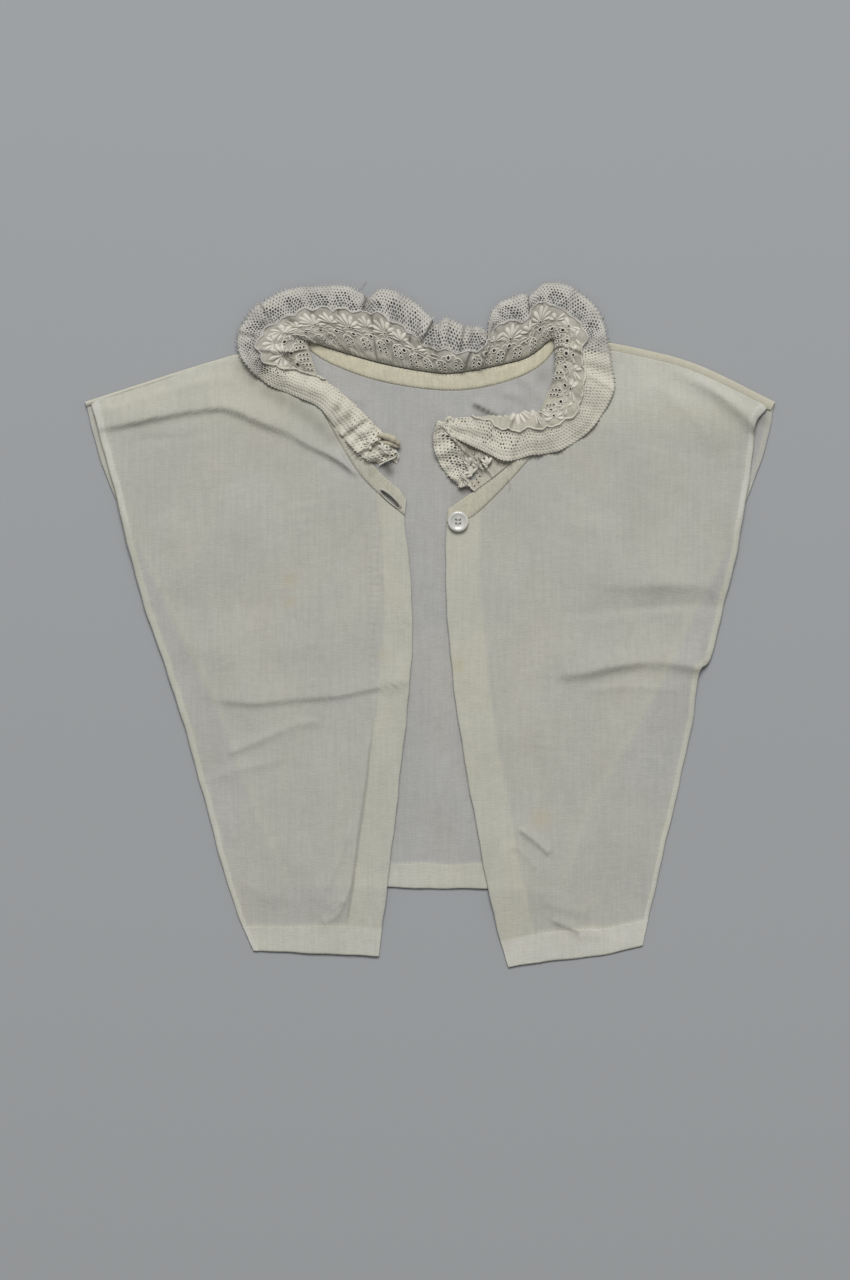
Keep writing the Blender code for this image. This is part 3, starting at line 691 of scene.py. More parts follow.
def times(tree, first, second):
    """One colour multiplied by another."""
    return mixed(tree, 1.0, first, second, "MULTIPLY")


def bump(tree, height, distance, strength=1.0):
    made = node(tree, "ShaderNodeBump", Strength=strength, Distance=distance)
    tree.links.new(height, made.inputs["Height"])
    tree.links.new(made.outputs["Normal"], tree.nodes["Principled BSDF"].inputs["Normal"])


def ramp(tree, value, stops):
    """A colour that follows the value through the stops, each (value, colour)."""
    made = node(tree, "ShaderNodeValToRGB")
    elements = made.color_ramp.elements
    while len(elements) < len(stops):
        elements.new(0.5)
    for element, (place, colour) in zip(elements, stops):
        element.position = place
        element.color = (*colour, 1)
    tree.links.new(value, made.inputs["Fac"])
    return made.outputs["Color"]


def grey(tree, value):
    made = node(tree, "ShaderNodeCombineColor")
    for socket in made.inputs[:3]:
        tree.links.new(value, socket)
    return made.outputs["Color"]


def cotton_colour(tree, stops, shade):
    """The colour the layers value picks, times a shade, and painted shade where the folds value is high."""
    colour = times(tree, ramp(tree, from_mesh(tree, "layers"), stops), grey(tree, shade))
    return times(tree, colour, mixed(tree, from_mesh(tree, "folds"), (1, 1, 1), FOLD_SHADE_TINT))


def cloth_material(name, stops, thread, slub, contrast, rise=1.0):
    """Plain weave. The mesh's layers value picks its colour from the stops, and marks yellows it."""
    made = material(name, stops[-1][1], 0.9, sheen=0.15)
    tree = made.node_tree
    place = object_place(tree)
    across = noise(tree, place, 1 / thread, (slub * 0.5, 1, 1))
    down = noise(tree, place, 1 / thread, (1, slub, 1))
    threads = combined(tree, "ADD", across, down)
    wide_across = noise(tree, place, 0.4 / thread, (slub * 0.5, 1.2, 1), detail=1.0)
    wide_down = noise(tree, place, 0.4 / thread, (1.2, slub * 1.5, 1), detail=1.0)
    bars = combined(
        tree, "ADD", combined(tree, "MULTIPLY", wide_across, 0.6), combined(tree, "MULTIPLY", wide_down, 1.4)
    )
    cloudy = noise(tree, place, 24.0, detail=5.0)
    shade = spread(tree, threads, 1 - contrast, 1 + contrast, 0.75, 1.25)
    shade = combined(tree, "MULTIPLY", shade, spread(tree, bars, 1 - contrast, 1 + contrast, 0.8, 1.2))
    shade = combined(tree, "MULTIPLY", shade, spread(tree, cloudy, 0.955, 1.045))
    aged = spread(tree, noise(tree, place, 26.0, (1, 1.6, 1), detail=4.0), 0.0, 1.0, 0.35, 0.65)
    colour = times(tree, cotton_colour(tree, stops, shade), mixed(tree, aged, COOL_TINT, WARM_TINT))
    colour = mixed(tree, from_mesh(tree, "marks"), colour, MARK_COLOUR)
    tree.links.new(colour, tree.nodes["Principled BSDF"].inputs["Base Color"])
    crumple = noise(tree, place, 170.0, (1, 1.5, 1), detail=3.0)
    slow = noise(tree, place, 34.0, (0.8, 1.6, 1), detail=2.0)
    height = combined(tree, "ADD", combined(tree, "MULTIPLY", threads, 0.25), crumple)
    height = combined(tree, "ADD", height, combined(tree, "MULTIPLY", slow, 2.2))
    bump(tree, height, 0.0011 * rise, 0.5)
    return made


def thread_material(name, stops, pitch, sheen):
    """Cotton thread: close strands, a little uneven in colour."""
    made = material(name, stops[0][1], 0.8, sheen=sheen)
    tree = made.node_tree
    place = object_place(tree)
    shade = spread(tree, noise(tree, place, 70.0, detail=4.0), 0.9, 1.08)
    tree.links.new(cotton_colour(tree, stops, shade), tree.nodes["Principled BSDF"].inputs["Base Color"])
    bump(tree, noise(tree, place, 1 / pitch, detail=2.0), 0.0003, 0.6)
    return made


def pearl_material():
    """Mother of pearl: cloudy layers under a smooth surface."""
    made = material("pearl", (0.5, 0.5, 0.46), 0.28)
    tree = made.node_tree
    shader = tree.nodes["Principled BSDF"]
    shader.inputs["Coat Weight"].default_value = 0.4
    shader.inputs["Coat Roughness"].default_value = 0.12
    shader.inputs["Specular IOR Level"].default_value = 0.5
    cloudy = noise(tree, object_place(tree), 320.0, (1, 3, 1), detail=4.0)
    colour = mixed(tree, spread(tree, cloudy, 0.0, 1.0), (0.42, 0.42, 0.39), (0.58, 0.57, 0.52))
    tree.links.new(colour, shader.inputs["Base Color"])
    bump(tree, cloudy, 0.0002, 0.2)
    return made


def in_metres(millimetres):
    return [value * MM for value in millimetres]


def linked(name, data):
    """A new object in the scene."""
    made = bpy.data.objects.new(name, data)
    bpy.context.scene.collection.objects.link(made)
    return made


def piece(name, points, faces, finish, values=(), smooth_faces=True):
    """An object made of points in millimetres and faces, which rides with the jabot."""
    mesh = bpy.data.meshes.new(name)
    mesh.from_pydata((points.reshape(-1, 3) * MM).tolist(), [], np.asarray(faces).tolist())
    for label, numbers in values:
        layer = mesh.attributes.new(label, "FLOAT", "POINT")
        layer.data.foreach_set("value", np.asarray(numbers, np.float32).ravel())
    if smooth_faces:
        mesh.shade_smooth()
    mesh.materials.append(finish)
    made = linked(name, mesh)
    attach(made, "root")
    return made


def quads(rows, columns, keep=None):
    """The faces of a grid of points, as four corners each."""
    index = np.arange(rows * columns).reshape(rows, columns)
    faces = np.stack([index[:-1, :-1], index[:-1, 1:], index[1:, 1:], index[1:, :-1]], axis=-1)
    return faces[keep] if keep is not None else faces.reshape(-1, 4)


def closed_shell(faces, count):
    """The faces of a thin closed shell: an upper face, the same one below it, and walls at its edges."""
    sides = np.concatenate([faces[:, [k, (k + 1) % faces.shape[1]]] for k in range(faces.shape[1])])
    forward = sides[:, 0].astype(np.int64) * count + sides[:, 1]
    backward = sides[:, 1].astype(np.int64) * count + sides[:, 0]
    rim = sides[~np.isin(forward, backward)]
    walls = np.column_stack([rim[:, 0], rim[:, 0] + count, rim[:, 1] + count, rim[:, 1]])
    return np.concatenate([faces, faces[:, ::-1] + count, walls])


def thin_shell(top, low, keep=None):
    """The points and faces of a closed shell between two grids of points."""
    faces = closed_shell(quads(*top.shape[:2], keep=keep), top.shape[0] * top.shape[1])
    return np.concatenate([top.reshape(-1, 3), low.reshape(-1, 3)]), faces


def cloth_piece(name, top, wall, finish, layers, marked=0.0, shade=0.0):
    """A thin closed shell of cloth under a grid of points."""
    low = top.copy()
    low[..., 2] = np.maximum(low[..., 2] - wall, FLOOR_GAP)
    top[..., 2] = np.maximum(top[..., 2], low[..., 2] + THINNEST)
    # the folds value is painted shade in creases and hollows, and painted shadow under the lace
    values = [
        (label, np.tile(np.broadcast_to(numbers, top.shape[:2]).ravel(), 2))
        for label, numbers in (("layers", layers), ("marks", marked), ("folds", shade))
    ]
    return piece(name, *thin_shell(top, low), finish, values)


def joined(parts):
    """One set of points and faces from several."""
    points, faces, start = [], [], 0
    for part_points, part_faces in parts:
        part_points = part_points.reshape(-1, 3)
        points.append(part_points)
        faces.append(part_faces + start)
        start += len(part_points)
    return np.concatenate(points), np.concatenate(faces)


def tube_faces(rings, sides, closed):
    """The faces between rings of points that follow one another."""
    here = np.arange(rings * sides).reshape(rings, sides)
    after = np.roll(here, -1, axis=0)
    if not closed:
        here, after = here[:-1], after[:-1]
    faces = np.stack([here, np.roll(here, -1, axis=1), np.roll(after, -1, axis=1), after], axis=-1)
    return faces.reshape(-1, 4)


def tube(line, up, radius, sides=6, closed=False):
    """A round thread along a line. up is a direction across it at each point."""
    line = np.asarray(line, float)
    if closed:
        way = np.roll(line, -1, axis=0) - np.roll(line, 1, axis=0)
    else:
        way = np.gradient(line, axis=0)
    across = unit(np.cross(way, np.broadcast_to(up, line.shape)))
    rise = unit(np.cross(across, way))
    turn = 2 * math.pi * np.arange(sides) / sides
    ring = across[:, None] * np.cos(turn)[:, None] + rise[:, None] * np.sin(turn)[:, None]
    radius = np.broadcast_to(radius, len(line))[:, None, None]
    points = line[:, None] + radius * ring
    return points.reshape(-1, 3), tube_faces(len(line), sides, closed)


# the faces of one stitch and of one picot
STITCH_FACES = np.array(
    [(0, 2, 4), (0, 4, 3), (0, 3, 5), (0, 5, 2), (1, 4, 2), (1, 3, 4), (1, 5, 3), (1, 2, 5)]
)
PICOT_FACES = np.array([(0, 2, 4), (2, 1, 4), (1, 3, 4), (3, 0, 4), (0, 3, 2), (1, 2, 3)])


def repeated(points, faces):
    """The points and faces of many small shapes that have the same faces."""
    each = points[0].size // 3
    faces = faces[None] + each * np.arange(len(points))[:, None, None]
    return points.reshape(-1, 3), faces.reshape(-1, faces.shape[-1])


def stitches(line, up, pitch, length, thickness, slant=0.0):
    """Small stitches along a line of points, each a slim lozenge. slant turns them across it."""
    centres = evenly(line, pitch)
    way = unit(np.gradient(centres, axis=0))
    up = np.broadcast_to(np.asarray(up, float), centres.shape)
    across = unit(np.cross(up, way))
    run = way * math.cos(slant) + across * math.sin(slant)
    side = across * math.cos(slant) - way * math.sin(slant)
    uneven = 0.8 + 0.4 * scatter(len(centres), len(centres))[:, None]
    reach = run * length / 2 * uneven
    width, height = side * thickness, up * thickness
    corners = (-reach, reach, -width, width, height, -height)
    return repeated(np.stack([centres + corner for corner in corners], axis=1), STITCH_FACES)


def sewn(lines, stitch):
    """Level stitching along each line."""
    return [stitches(line, (0, 0, 1), *stitch) for line in lines]


def back_panel():
    """The back, its inside up, with the turned hem along its bottom and narrow side hems."""
    hem = (0, 0.5, 1.2, 2.6, 3.0, SIDE_HEM, 3.8, 5.0)
    foot = (0, 0.6, 1.4, 5, 9, 12.8, 13.5, BACK_HEM, 14.5, 16)
    head = (3.0, 1.4, 0.5, 0)
    bottom, left, right = (edge(wobbly(line)) for line in (BACK_BOTTOM, BACK_SIDE_RIGHT, BACK_SIDE_LEFT))
    top_lines = [spline(line, 40) for line in (SHOULDER_RIGHT, BACK_NECK, SHOULDER_LEFT)]
    top = joined_edge(top_lines, BACK_CORNERS)
    crowds = (crowded_middle, crowded_top)
    grid = panel_grid(bottom, top, left, right, hem, hem[::-1], foot, head, 190, 160, crowds)
    rows, columns = grid.shape[:2]
    turned_foot = doubled(rows, BACK_FOOT_TURN)[:, None]
    turned_side = doubled(columns, BACK_SIDE_TURN)
    turned_side = np.maximum(turned_side, turned_side[::-1])
    turned = np.maximum(turned_foot, turned_side)
    relief, shade = crease_relief(grid, BACK_CREASES)
    # painted shade in the back's hollows and along its short crease
    shade = shade + darker(grid, SHADE_SPOTS)
    rise = HEM_RELIEF * turned + relief + soft_unevenness(grid)
    wall = BATISTE + (HEM_WALL - BATISTE) * turned
    height = CLOTH - SINK + rise
    lower = smooth((40 - grid[..., 1]) / 160)
    layers = np.clip(0.02 + 0.04 * lower + 0.72 * turned_foot + 0.4 * turned_side, 0, 1)
    made = cloth_piece("back_cloth", with_height(grid, height), wall, batiste, layers, shade=shade)
    surface = with_height(grid, height + SINK)
    return made, sewn([surface[7, 6:-6], surface[8:-6, 5], surface[8:-6, -6]], HEM_STITCH)


def shoulder_turn(name, shoulder, seam, tint):
    """The back's cloth turned over the fold at a shoulder, as far as the seam and a little under it."""
    profile = (
        (1.6, 0.95), (0.5, 0.75), (0.1, 1.1), (0.0, 1.6), (0.25, 2.2), (0.9, 2.6), (seam * 0.6 + 0.5, 2.72),
        (seam + 0.35, 2.6), (seam + 1.2, 2.2),
    )
    line = spline(shoulder, 40)
    points = np.array([with_height(offset(line, -inset), height) for inset, height in profile])
    along = np.linspace(0, 1, points.shape[1])
    points[3:7, :, 2] += 0.12 * np.sin(along * 61) * np.sin(along * 23)
    count = points.size // 3
    values = (("layers", np.full(count, 0.8)), ("marks", np.full(count, tint)))
    return piece(name, points, quads(*points.shape[:2]), batiste, values)


def front_panel(name, side, hem_line, centre, neck, shoulder, seam, creases):
    """A front: it lies on the back, comes down to the table beyond it, and is lighter where it is double."""
    is_right = side[0][0] < centre[0][0]
    turned = 1 if is_right else -1
    line = offset(spline(shoulder, 40)[::turned], -turned * (seam + SHOULDER_GAP - 0.35))
    inner_end = spline(neck)[0]
    line = line[turned * line[:, 0] < turned * inner_end[0]]
    tip = spline(side)[-1]
    line = line[turned * line[:, 0] > turned * tip[0] + 1]
    top = joined_edge([np.vstack([tip, line, inner_end]), spline(neck, 40)], (NECK_CORNER,))
    near = (0, 0.5, 1.1, 1.9, 2.3, 2.7, 3.3, 5.0)
    far = (FACING + 1.5, FACING + 0.5, FACING, FACING - 0.6, 14, 9, 4, 1.4, 0.5, 0)
    foot = (0, 0.6, 1.4, 5, 9, 13.6, 14.4, FRONT_HEM, 15.6, 17)
    bottom, left, right = (edge(wobbly(points)) for points in (hem_line[::turned], side, centre))
    grid = panel_grid(bottom, top, left, right, near, far, foot, (0.5, 0), 125, 240)
    rows, columns = grid.shape[:2]
    hem = doubled(rows, FRONT_FOOT_TURN)[:, None]
    narrow = doubled(columns, FRONT_SIDE_TURN)
    facing = doubled(columns, FACING_TURN)[::-1]
    over_back = depth_inside(grid, back_outline)
    drop = np.clip((over_back + DROP_START + DROP) / DROP, 0, 1)
    relief, shade = crease_relief(grid, creases)
    from_top = np.linalg.norm(grid[-1] - grid, axis=-1)
    tuck = doubled(columns, TUCK_TURN)[::-1] * is_right
    tuck = tuck * smooth((TUCK_TOP - grid[..., 1]) / 60) * smooth((grid[..., 1] - TUCK_FOOT) / 14)
    # painted shade and shadow in hollows and under the lace, and painted shade along the tucked facing edge
    shade = shade + darker(grid, SHADE_SPOTS) + 0.22 * tuck
    double = np.maximum(np.maximum(hem, narrow), facing)
    rise = HEM_RELIEF * double + relief * smooth(from_top / 8) + soft_unevenness(grid) - 0.4 * tuck
    height = LAYER * drop + CLOTH - SINK + rise
    wall = BATISTE + (HEM_WALL - BATISTE) * np.maximum(narrow, np.maximum(hem, 0.6 * facing))
    on_cloth = smooth(over_back / 3 + 0.5)
    through = np.exp(-(((over_back - 2) / 2.2) ** 2))
    # The layers value also carries painted light: the cloth over the shoulders is lighter where it faces the
    # lamp. Single cloth off the back is lighter towards the bottom.
    upper = smooth((grid[..., 1] + 140) / 160)
    shoulder_light = (0.36 if is_right else 0.5) * smooth((grid[..., 1] - 98) / 30)
    layers = 0.02 + (0.26 - 0.16 * upper) * (1 - on_cloth) + 0.33 * on_cloth + 0.10 * through + shoulder_light
    layers = layers + 0.33 * facing * (1 - hem) + (0.6 if is_right else 0.72) * hem + 0.6 * narrow
    values = (with_height(grid, height), wall, np.clip(layers, 0, 1), darker(grid, MARKS), shade)
    points, wall, layers, marked, shade = (value[:, ::turned] for value in values)
    made = cloth_piece(name, points, wall, batiste, layers, marked, shade)
    surface = with_height(grid, height + SINK)
    return made, sewn([surface[7, 6:-8], surface[8:-2, 5]], HEM_STITCH)


def first_part(line, share):
    """This share of a line, from its start."""
    return places(line, np.linspace(0, share, 200))


def band_strip(name, outer, inner, base, cream):
    """A stretch of the neckband: a close woven tape with softly rounded edges."""
    across = np.array([-0.03, 0.0, 0.04, 0.12, 0.25, 0.4, 0.55, 0.7, 0.84, 0.93, 0.98, 1.0])
    crown = 1 - 0.75 * np.abs(2 * across - 1) ** 9
    count = int(lengths_along(outer)[-1] / 0.8)
    steps = np.linspace(0, 1, count)
    low, high = places(outer, steps), places(inner, steps)
    grid = low[None] * (1 - across[:, None, None]) + high[None] * across[:, None, None]
    uneven = 0.08 * np.sin(steps * count / 5.0)[None] * crown[:, None]
    top = with_height(grid, base + BAND * np.clip(crown, 0.1, 1)[:, None] + uneven)
    if np.cross(low[1] - low[0], high[0] - low[0]) < 0:
        top = top[:, ::-1]
    below = top.copy()
    below[..., 2] = base + 0.05
    points, faces = thin_shell(top, below)
    # painted shade and shadow on the band where the lace overhangs it
    values = (("layers", np.full(len(points), cream)), ("folds", darker(points[:, :2], SHADE_SPOTS)))
    made = piece(name, points, faces, tape, values)
    seams = [with_height(low * (1 - share) + high * share, base + BAND) for share in BAND_SEAMS]
    return made, sewn([places(line, steps) for line in seams], BAND_STITCH)


def bed(xy):
    """The height at which the frill clears whatever lies under this point."""
    deepest = np.maximum(depth_inside(xy, right_outline), depth_inside(xy, left_outline))
    return FLOOR_BED + (CLOTH_BED - FLOOR_BED) * smooth(1 + deepest / BED_SLOPE)


def frill_surface(rows, count):
    """The frill's surface, a row of points for each value from 0 at the seam to 3 at the outer edge."""
    table = {name: np.array(values, float) for name, values in zip(FRILL_COLUMNS, zip(*FRILL_SECTIONS))}
    at = table["place"]
    seam_line = np.vstack([spline(SEAM_RIGHT_FRONT), spline(SEAM_BACK)[1:], spline(SEAM_LEFT_FRONT)[1:]])
    total = lengths_along(seam_line)[-1]
    seam, before, after = (places(seam_line, (at + shift) / total) for shift in (0, -2, 2))
    way = unit(after - before)
    inward = np.column_stack([way[:, 1], -way[:, 0]])
    cord = np.column_stack([table["cord_x"], table["cord_y"]])
    rim = np.column_stack([table["edge_x"], table["edge_y"]])
    at_back = (at > BACK_PLACES[0]) & (at < BACK_PLACES[1])
    seam = seam + np.where(at_back[:, None], -SEAM_GAP_BACK * inward, SEAM_GAP * inward)
    rolled = table["roll"] > 0
    crest = np.where(rolled[:, None], cord + table["roll"][:, None] * unit(cord - rim), (seam + cord) / 2)
    low = by_place(at, SETTLED)
    lines = (
        with_height(seam, np.where(at_back, BACK_SEAM_HEIGHT, FRONT_SEAM_HEIGHT)),
        with_height(crest, bed(crest) - low + table["lift"] * np.where(rolled, ROLL_SHARE, 0.7)),
        with_height(cord, bed(cord) - low + table["lift"]),
        with_height(rim, bed(rim) - low + table["rim"]),
    )
    lines = [spline(line, SECTION_STEPS) for line in lines]
    index = np.linspace(0, len(lines[0]) - 1, count + 1)
    spacing = lengths_along((lines[2] + lines[3]) / 2)
    even = np.interp(np.linspace(0, spacing[-1], count + 1), spacing, np.arange(len(spacing)))
    index = (index + even) / 2
    lines = [
        np.stack([np.interp(index, np.arange(len(line)), line[:, axis]) for axis in range(3)], axis=-1)
        for line in lines
    ]
    controls = np.array([2 * lines[0] - lines[1], *lines, 2 * lines[3] - lines[2]])
    wave = RUFFLES * np.linspace(0, 1, count + 1)
    place = np.interp(index / SECTION_STEPS, np.arange(len(at)), at)
    uneven = 0.6 + 0.6 * np.interp(wave, np.arange(RUFFLES + 1), scatter(RUFFLES + 1, 5))
    size = by_place(place, RUFFLE_SIZE) * uneven
    ruffle = RUFFLE_HEIGHT * size * (0.5 - 0.5 * np.cos(2 * math.pi * wave))
    low = by_place(place, SETTLED)
    surface = []
    for row in rows:
        span = min(int(row), 2)
        point = smooth_span(*controls[span:span + 4], row - span)
        if row < 1:
            point[:, 2] += (lines[1][:, 2] - lines[0][:, 2]) * (row**0.4 - row) * QUICK_RISE
        point[:, 2] += (row / 3) ** 1.5 * ruffle
        if row > 1.4:
            point[:, 2] = np.maximum(point[:, 2], bed(point[:, :2]) - low)
        surface.append(point)
    return np.array(surface), place


def bilinear(field, row, column):
    """Values of a grid of numbers or points between its rows and columns."""
    row = np.clip(row, 0, field.shape[0] - 1.001)
    column = np.clip(column, 0, field.shape[1] - 1.001)
    j, i = row.astype(int), column.astype(int)
    v, u = row - j, column - i
    if field.ndim == 3:
        v, u = v[..., None], u[..., None]
    low = field[j, i] * (1 - u) + field[j, i + 1] * u
    high = field[j + 1, i] * (1 - u) + field[j + 1, i + 1] * u
    return low * (1 - v) + high * v


def found_along(line, lengths, rows):
    """The rows with the point that begins each turned into the distance along the line where it lies."""
    found = []
    for x, y, *shape in rows:
        nearest = np.argmin(np.hypot(line[:, 0] - x, line[:, 1] - y))
        found.append((lengths[nearest], *shape))
    return found


class Frill:
    """The frill, measured by distance along its cord and by distance out from its seam."""

    def __init__(self):
        self.grid, self.place = frill_surface(np.linspace(0, 3, FRILL_ROWS + 1), FRILL_STEPS)
        self.normal = unit(np.cross(np.gradient(self.grid, axis=1), np.gradient(self.grid, axis=0)))
        steps = np.linalg.norm(np.diff(self.grid, axis=0), axis=-1)
        reached = np.concatenate([np.zeros((1, FRILL_STEPS + 1)), np.cumsum(steps, axis=0)])
        self.steps = np.arange(FRILL_STEPS + 1)
        cord_row = by_place(self.place, CORD_ROW) * FRILL_ROWS / 3
        cord = bilinear(self.grid, cord_row, self.steps)
        self.middle_line = bilinear(self.grid, (cord_row + FRILL_ROWS) / 2, self.steps)
        self.cord_out = bilinear(reached, cord_row, self.steps)
        self.edge_out = reached[-1]
        self.along = lengths_along(cord)
        self.middle = lengths_along(self.middle_line)
        self.length = self.along[-1]
        self.folds = found_along(cord, self.along, STRIP_FOLDS)
        self.pleats = found_along(self.middle_line, self.middle, PLEATS)
        all_rows = np.arange(FRILL_ROWS + 1)
        self.rows = np.stack([np.interp(OUTS, reached[:, k], all_rows) for k in self.steps], axis=1)

    def columns(self, along):
        return np.interp(along, self.along, self.steps)

    def from_middle(self, distance):
        """Distance along the cord, from distance along the middle of the net."""
        return np.interp(distance, self.middle, self.along)

    def cord(self, along):
        return np.interp(along, self.along, self.cord_out)

    def edge(self, along):
        return np.interp(along, self.along, self.edge_out)

    def where(self, along):
        """The place in the frill's table, from distance along the cord."""
        return np.interp(along, self.along, self.place)

    def row(self, along, out):
        return bilinear(self.rows, out / OUT_STEP, self.columns(along))

    def up(self, along, out):
        return bilinear(self.normal, self.row(along, out), self.columns(along))

    def point(self, along, out, lift):
        row, column = self.row(along, out), self.columns(along)
        raised = np.asarray(lift)[..., None] * bilinear(self.normal, row, column)
        return bilinear(self.grid, row, column) + raised

    def tightness(self, along, out):
        """How much shorter the frill is here than along its cord, where it is gathered in."""
        zero = np.zeros(np.shape(along))
        ahead = self.point(np.asarray(along) + 0.6, out, zero)
        behind = self.point(np.asarray(along) - 0.6, out, zero)
        return np.clip(np.linalg.norm(ahead - behind, axis=-1) / 1.2, 0.4, 1.3)


def scallop(along):
    """How far the scalloped edge stands out from the cord's line: lobes, with a cusp between each two."""
    sway = 0.45 * np.sin(along / 2.3 + 1.7 * np.sin(along / 7.9))
    sway = sway + 0.15 * np.sin(along / 0.7 + np.sin(along / 3.3))
    return SCALLOP * np.abs(np.sin(math.pi * along / REPEAT)) ** 0.8 - 0.4 + sway


def pattern_scale(along):
    """The pattern is a little larger where the strip is wide."""
    return np.clip(frill.cord(along) / PATTERN_WIDTH, 1.0, 1.15)


def pattern_shift(along):
    """Where the strip is wide, the pattern stands out near its scalloped edge."""
    return np.clip(frill.cord(along) - PATTERN_WIDTH * pattern_scale(along), 0, 6)


def crush(along):
    """How badly the frill is crushed: most at its two ends."""
    return by_place(frill.where(along), CRUSHED)


def end_slant(along):
    """The frill's first end is turned under on a slant, so that it starts this far out."""
    return 0.8 * frill.cord(along) * smooth(1 - along / 16)


def strip_folds(along, out):
    """How far the folds across the strip lift it, and the painted shade on their steep sides."""
    lift, dark = 0.0, 0.0
    for middle, height, before, after in frill.folds:
        away = along - middle - 0.3 * (out - 8)
        lift = lift + height * np.exp(-np.abs(away / np.where(away < 0, before, after)) ** 1.6)
        steep = -before if before < after else after
        dark = dark + 0.35 * np.exp(-(((away - steep) / 0.8) ** 2))
    return lift, dark * smooth(out / 3)


def base_lift(along, out):
    """Height of the embroidered cloth over the frill's surface, with fine gathers from the seam."""
    pull = smooth(1 - out / GATHER_REACH)
    reach = 0.6 + 0.4 * np.sin(along / 3.7 + 1.1 * np.sin(along / 9.1))
    gathers = np.sin(2 * math.pi * (along / GATHER_PITCH + 0.35 * np.sin(along / 5.3)))
    size = 0.32 + 0.7 * crush(along)
    crumple = size * np.sin(along / 2.9 + 1.2 * np.sin(out / 3.1)) * np.sin(out / 2.3 + along / 6.1)
    crumple = crumple + 0.14 * np.sin(along / 1.0 + 1.3 * np.sin(out / 1.9)) * np.sin(out / 1.3 + along / 2.7)
    crumple = crumple + strip_folds(along, out)[0]
    tuck = smooth(out / BULGE_WIDTH) * (1 - 0.9 * smooth((out - 6) / 14))
    risen = BASE_LIFT * (0.25 + 0.75 * smooth(out / 4))
    return risen + GATHER_HEIGHT * pull * reach * gathers + crumple * smooth(out / 4) + BULGE * tuck


def motifs():
    """(along, is large, scale, shift outwards) of every flower."""
    for k in range(int(frill.length / REPEAT)):
        middle = (k + 0.5) * REPEAT
        yield middle, k % 2 == 0, float(pattern_scale(middle)), float(pattern_shift(middle))


def eyelet_table():
    """(along, out, hole radius, thread radius) of every eyelet."""
    rows = []
    for middle, large, scale, shift_out in motifs():
        rows.append((middle, SINGLE_OUT * scale + shift_out, *SINGLE_EYELET))
        if large:
            rows.append((middle, FLOWER_OUT * scale + shift_out, *FLOWER_EYELET))
        beside = middle + REPEAT / 2
        tight = float(frill.tightness(beside, BLOCK_OUT + BLOCK_ROW + shift_out))
        first = BLOCK_OUT * scale + shift_out
        for column in (-BLOCK_COLUMN, BLOCK_COLUMN):
            for step in range(3):
                shift = (column + 0.18 * step) / tight
                rows.append((beside + shift, first + BLOCK_ROW * step * scale - 0.15 * column, *BLOCK_EYELET))
    table = np.array(rows)
    table[:, 2] *= 1 - 0.45 * crush(table[:, 0])
    room = frill.cord(table[:, 0]) - table[:, 1]
    clear = table[:, 1] - end_slant(table[:, 0]) > 1.2
    return table[(room > 1.4) & clear & (table[:, 0] > 2.5) & (table[:, 0] < frill.length - 2.5)]


def beyond(place, ends):
    """1 where a place along the frill is before the first end or after the second, and 0 between them."""
    return np.where((place < ends[0]) | (place > ends[1]), 1.0, 0.0)


def stitched(name, made, finish, **choices):
    """A piece of stitching on the frill: lighter over the fronts, and with painted shade in the frill's deep
    folds.
    """
    points, faces = made
    line = frill.middle_line[::4, :2]
    gap = np.hypot(points[:, None, 0] - line[None, :, 0], points[:, None, 1] - line[None, :, 1])
    place = frill.where(frill.from_middle(frill.middle[::4][np.argmin(gap, axis=1)]))
    values = (("layers", beyond(place, NET_FRONTS)), ("folds", darker(points[:, :2], FRILL_SHADE_SPOTS)))
    return piece(name, points, faces, finish, values, **choices)


def embroidered_base(eyelets):
    """The cloth of the eyelet edging, with its holes open."""
    across = int(frill.length / BASE_STEP)
    along = np.broadcast_to(np.linspace(0, frill.length, across + 1), (BASE_ROWS + 1, across + 1)).copy()
    share = np.linspace(1, 0, BASE_ROWS + 1)[:, None]
    start = end_slant(along) + 0.2 - 0.2 * np.cos(2 * math.pi * along / 1.35)
    out = start + share * (frill.cord(along) + scallop(along) - start)
    middle_along = (along[:-1, :-1] + along[1:, 1:]) / 2
    middle_out = (out[:-1, :-1] + out[1:, 1:] + out[:-1, 1:] + out[1:, :-1]) / 4
    keep = np.ones(middle_along.shape, bool)
    for place, far, hole, thread in eyelets:
        tight = float(frill.tightness(place, far))
        first = max(int((place - 2 / tight) / BASE_STEP), 0)
        last = int((place + 2 / tight) / BASE_STEP) + 2
        gap = (middle_along[:, first:last] - place) * tight
        near = np.hypot(gap, middle_out[:, first:last] - far) < hole + 0.12
        keep[:, first:last] &= ~near
        corners = np.zeros((near.shape[0] + 1, near.shape[1] + 1), bool)
        for down, right in ((0, 0), (0, 1), (1, 0), (1, 1)):
            corners[down:down + near.shape[0], right:right + near.shape[1]] |= near
        part_along = along[:, first:last + 1][:, :corners.shape[1]]
        part_out = out[:, first:last + 1][:, :corners.shape[1]]
        gap_along, gap_out = (part_along[corners] - place) * tight, part_out[corners] - far
        away = np.maximum(np.hypot(gap_along, gap_out), 0.01)
        part_along[corners] = place + gap_along / away * (hole + thread * 0.8) / tight
        part_out[corners] = far + gap_out / away * (hole + thread * 0.8)
    lift = base_lift(along, out)
    points, faces = thin_shell(frill.point(along, out, lift), frill.point(along, out, lift - 0.3), keep)
    place = frill.where(along)
    layers = np.where(beyond(place, CLOTH_FRONTS) > 0, 1.0, 0.2 + 0.6 * smooth(1.1 - out / 9))
    # painted shade in the frill's deep folds and on the steep sides of the strip's folds
    shade = darker(points[:, :2], FRILL_SHADE_SPOTS) + np.tile(strip_folds(along, out)[1].ravel(), 2)
    values = (("layers", np.tile(layers.ravel(), 2)), ("folds", np.clip(shade, 0, DARKEST)))
    return piece("frill_cloth", points, faces, lawn, values)


